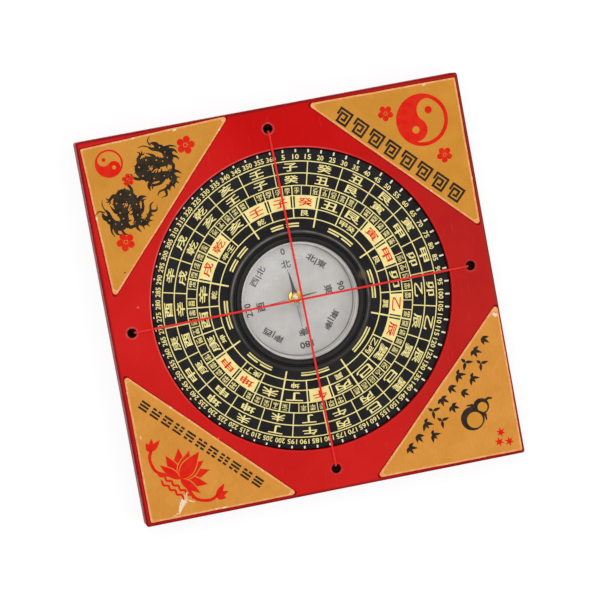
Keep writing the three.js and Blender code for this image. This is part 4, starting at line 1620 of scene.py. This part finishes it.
def needle_steel():
    """Blued north half, bare and paler south half"""
    f = Finish("needle_steel", Metallic=0.7)
    cloud = f.patches(1.2, 4, 0.32, 0.7)
    blued = f.mix(cloud, (58, 50, 62), (88, 74, 86))
    bare = f.mix(cloud, (132, 130, 132), (164, 162, 162))
    f.paint(f.mix(f.reach(f.north, pivot_north - 0.9, pivot_north - 1.7), blued, bare))
    f.satin(0.6, 3, 0.28, 0.44, 3)
    f.grain(0.2, 3, 0.004, stretch=(1, 0.3, 1))
    return f.material


def needle_piece():
    full, narrow = blade_outline(0), blade_outline(NEEDLE_EDGE)
    eye = [(x / math.hypot(x, y) * EYE_RADIUS, y / math.hypot(x, y) * EYE_RADIUS) for x, y in full]
    rows = [(eye, blade_bottom), (full, blade_bottom), (full, blade_top - 0.08), (narrow, blade_top),
            (eye, blade_top)]
    blade = loft([[(x, y, height) for x, y in outline] for outline, height in rows], ring=True)
    solid = moved(blade, pivot_east, pivot_north, NEEDLE_TURN)
    as_piece("needle_blade", solid, [needle_steel()], "needle", ["needle"])


CAP_DIMPLE, CAP_BOSS, CAP_HEAD, CAP_CROWN = 0.5, 0.8, 1.25, 0.75
CAP_DIMPLE_DEPTH = 0.65
GLINT_JEWEL_RADIUS = 0.55


def cap_piece():
    """Cap whose boss is spread into a round head over the blade's eye"""
    bright = metal("polished_brass", (214, 160, 62), (242, 198, 104), 0.18, 30)
    head = blade_top + 0.01
    pivot_piece("cap", [
        (0, cap_bottom + CAP_DIMPLE_DEPTH, 0), (CAP_DIMPLE, cap_bottom, 0.04),
        (cap_radius - 0.17, cap_bottom, 0.06), (cap_radius, cap_bottom + 0.17, 0.1),
        (cap_radius, blade_bottom, 0.1), (CAP_BOSS, blade_bottom, 0.03), (CAP_BOSS, head, 0.02),
        (CAP_HEAD, head, 0.04), (CAP_HEAD, blade_top + 0.12, 0.08), (CAP_CROWN, cap_top, 0.3),
        (0, cap_top, 0),
    ], bright, "needle", ["needle_cap"])
    # A white jewel on the cap's crown, which also stands in for the white glint there as a painted
    # highlight
    jewel_and_glint = silver_satin("jewel_and_glint_white", (250, 246, 238), (254, 252, 248))
    pivot_piece("cap_jewel_and_glint", [
        (0, cap_top - 0.1, 0), (GLINT_JEWEL_RADIUS, cap_top - 0.1, 0), (GLINT_JEWEL_RADIUS, cap_top + 0.02, 0.08),
        (0.3, cap_top + 0.13, 0.2), (0, cap_top + 0.15, 0),
    ], jewel_and_glint, "needle")


# Threads

THREAD_RADIUS = 0.3
THREAD_RISE = 43.8
THREAD_BEND = 0.8
THREAD_HEIGHT = 8.4
# Half the height between the two threads where they cross, with a hair's gap
THREAD_SHIFT = 0.325
STRANDS = 3
STRAND_RADIUS = 0.16
TWIST_PITCH = 1.5
STRAND_SIDES = 7
ROUTE_STEP = 0.14
KNOT_HEIGHT = 3.2
KNOT_SIZE, KNOT_HALF_RISE = 0.36, 0.45
KNOT_STEPS, KNOT_SIDES = 90, 8


def thread_route(shift):
    """Centreline from knot to knot as (along, height) points, close enough for the twist"""
    bend = [(THREAD_RISE - inset, THREAD_HEIGHT - drop) for drop, inset in quarter_round(THREAD_BEND, 8)]
    half = [(THREAD_RISE, KNOT_HEIGHT), *bend, (0, THREAD_HEIGHT + shift)]
    corners = half + [(-x, z) for x, z in reversed(half[:-1])]
    route = [corners[0]]
    for (x0, z0), (x1, z1) in zip(corners, corners[1:]):
        steps = max(1, round(math.hypot(x1 - x0, z1 - z0) / ROUTE_STEP))
        route += [(x0 + (x1 - x0) * s / steps, z0 + (z1 - z0) * s / steps) for s in range(1, steps + 1)]
    return route


def hoop(centre, first, second, radius, sides):
    """Points round a centre, in the plane of two directions"""
    angles = [2 * math.pi * side / sides for side in range(sides)]
    return [list(centre + radius * (math.cos(a) * first + math.sin(a) * second)) for a in angles]


def strand(route, phase):
    """One strand of a thread, wound about the route"""
    loops, travelled = [], 0
    first = Vector((0, 1, 0))
    for index, (x, z) in enumerate(route):
        x0, z0 = route[max(index - 1, 0)]
        x1, z1 = route[min(index + 1, len(route) - 1)]
        size = math.hypot(x1 - x0, z1 - z0)
        second = Vector(((z0 - z1) / size, 0, (x1 - x0) / size))
        angle = phase + 2 * math.pi * travelled / TWIST_PITCH
        away = (THREAD_RADIUS - STRAND_RADIUS) * (math.cos(angle) * first + math.sin(angle) * second)
        loops.append(hoop(Vector((x, 0, z)) + away, first, second, STRAND_RADIUS, STRAND_SIDES))
        if index + 1 < len(route):
            travelled += math.hypot(route[index + 1][0] - x, route[index + 1][1] - z)
    return loft(loops)


def knot(east):
    """Tightened overhand knot at a thread's end"""
    centre = []
    for step in range(KNOT_STEPS):
        t = 2 * math.pi * step / KNOT_STEPS
        centre.append(Vector((KNOT_SIZE * (math.sin(t) + 2 * math.sin(2 * t)) + east,
                              KNOT_SIZE * (math.cos(t) - 2 * math.cos(2 * t)),
                              KNOT_HEIGHT - KNOT_HALF_RISE * math.sin(3 * t))))
    loops = []
    for index, point in enumerate(centre):
        ahead = (centre[(index + 1) % KNOT_STEPS] - centre[index - 1]).normalized()
        first = ahead.cross(Vector((0, 0, 1))).normalized()
        loops.append(hoop(point, first, ahead.cross(first), THREAD_RADIUS, KNOT_SIDES))
    return loft(loops, ring=True)


def thread_pieces():
    fibre = thread_fibre()
    for name, shift in (("ew", -THREAD_SHIFT), ("ns", THREAD_SHIFT)):
        route = thread_route(shift)
        solids = [strand(route, 2 * math.pi * k / STRANDS) for k in range(STRANDS)]
        solids += [knot(THREAD_RISE), knot(-THREAD_RISE)]
        solid = moved(joined(solids), turn=THREAD_TURNS[name])
        as_piece("cross_thread_" + name, solid, [fibre], "plate", ["thread_" + name],
                 sharp=80)


# Pieces that the frame's own solids show


def dress_inner_nodes(brass):
    steel = metal("ring_steel", (150, 152, 156), (190, 192, 196), 0.3, 45)
    materials = {"dial_washer": felt_fibre(), "thrust_washer": brass, "snap_ring": steel}
    for node, material in materials.items():
        shown = frame["nodes"][node]
        shown.data.materials.clear()
        shown.data.materials.append(material)


# Stage

CAMERA_AZIMUTH = 301.3
CAMERA_ELEVATION = 82
CAMERA_ROLL = -10.42
CAMERA_DISTANCE = 945.5
CAMERA_TARGET = (0, 0, 6)
FOCAL_PIXELS = 3677
PICTURE_PIXELS = 600
MIDDLE_SHIFT_PIXELS = (1.25, -1.13)
SENSOR = 36
CLIP_METRES = (0.01, 20)
SOFTBOX_SIZE = 700
# Each softbox's place, and its power in watts
SOFTBOXES = {"key": ((-160, 280, 900), 3.6), "fill": ((560, -340, 800), 2.4)}


def camera():
    azimuth, elevation = math.radians(CAMERA_AZIMUTH), math.radians(CAMERA_ELEVATION)
    flat = math.cos(elevation)
    back = Vector((math.sin(azimuth) * flat, math.cos(azimuth) * flat, math.sin(elevation)))
    level_right = (-back).cross(Vector((0, 1, 0))).normalized()
    level_up = level_right.cross(-back)
    roll = math.radians(CAMERA_ROLL)
    right = math.cos(roll) * level_right + math.sin(roll) * level_up
    up = math.cos(roll) * level_up - math.sin(roll) * level_right
    per_pixel = CAMERA_DISTANCE / FOCAL_PIXELS
    place = Vector(CAMERA_TARGET) + back * CAMERA_DISTANCE
    place += (up * MIDDLE_SHIFT_PIXELS[1] - right * MIDDLE_SHIFT_PIXELS[0]) * per_pixel
    data = bpy.data.cameras.new("camera")
    data.sensor_width = SENSOR
    data.lens = FOCAL_PIXELS / PICTURE_PIXELS * SENSOR
    data.clip_start, data.clip_end = CLIP_METRES
    holder = shown_object("camera", data)
    turn = Matrix((right, up, back)).transposed().to_4x4()
    holder.matrix_world = Matrix.Translation(place * MM) @ turn
    bpy.context.scene.camera = holder


def seen_directly(tree):
    """1 for rays from the camera, off something glossy or through something clear"""
    path = wired(tree, "ShaderNodeLightPath").outputs
    total = path["Is Camera Ray"]
    for name in ("Is Glossy Ray", "Is Transmission Ray"):
        total = wired(tree, "ShaderNodeMath", {0: total, 1: path[name]}, operation="MAXIMUM").outputs[0]
    return total


FLOOR_HALF, FLOOR_LEVEL = 1500, -0.01
FLOOR_GREY = (0.9, 0.9, 0.9, 1)
FLOOR_WHITE_SHARE = 0.8
FLOOR_GLOW = 1.07
WORLD_LEVEL = 0.48


def floor():
    mesh = made_mesh("floor", (level_corners(FLOOR_HALF, FLOOR_HALF, FLOOR_LEVEL), [[0, 1, 2, 3]]))
    material = bare_material("floor_white")
    tree = material.node_tree
    share = wired(tree, "ShaderNodeMath", {0: seen_directly(tree), 1: FLOOR_WHITE_SHARE},
                  operation="MULTIPLY").outputs[0]
    matt = wired(tree, "ShaderNodeBsdfDiffuse", {"Color": FLOOR_GREY}).outputs[0]
    glow = wired(tree, "ShaderNodeEmission", {"Strength": FLOOR_GLOW}).outputs[0]
    both = wired(tree, "ShaderNodeMixShader", {0: share, 1: matt, 2: glow}).outputs[0]
    wired(tree, "ShaderNodeOutputMaterial", {0: both})
    mesh.materials.append(material)
    shown_object("floor", mesh)


def world():
    made = bpy.data.worlds.new("studio")
    made.use_nodes = True
    tree = made.node_tree
    strength = wired(tree, "ShaderNodeMapRange", {
        "To Min": WORLD_LEVEL, "To Max": 1, "Value": seen_directly(tree),
    }).outputs[0]
    back = tree.nodes["Background"]
    tree.links.new(strength, back.inputs["Strength"])
    back.inputs["Color"].default_value = (1, 1, 1, 1)
    bpy.context.scene.world = made


def softbox(name, place, watts):
    data = bpy.data.lights.new(name, "AREA")
    data.size, data.energy = SOFTBOX_SIZE * MM, watts
    turn = Vector(place).to_track_quat("Z", "Y").to_matrix().to_4x4()
    shown_object(name, data).matrix_world = Matrix.Translation(Vector(place) * MM) @ turn


def build():
    camera()
    plate_piece()
    cover_piece()
    screw_pieces()
    sheet_pieces()
    scrape_piece()
    corner_print()
    dial_pieces()
    brass = metal("brass", (202, 152, 58), (232, 190, 96), 0.28, 30)
    cup_piece()
    card_piece()
    card_print()
    pin_piece(brass)
    seal_piece()
    glass_piece()
    bezel_piece()
    needle_piece()
    cap_piece()
    thread_pieces()
    dress_inner_nodes(brass)
    floor()
    world()
    for name, (place, watts) in SOFTBOXES.items():
        softbox(name, place, watts)
    bpy.context.scene.view_settings.view_transform = "Standard"


build()
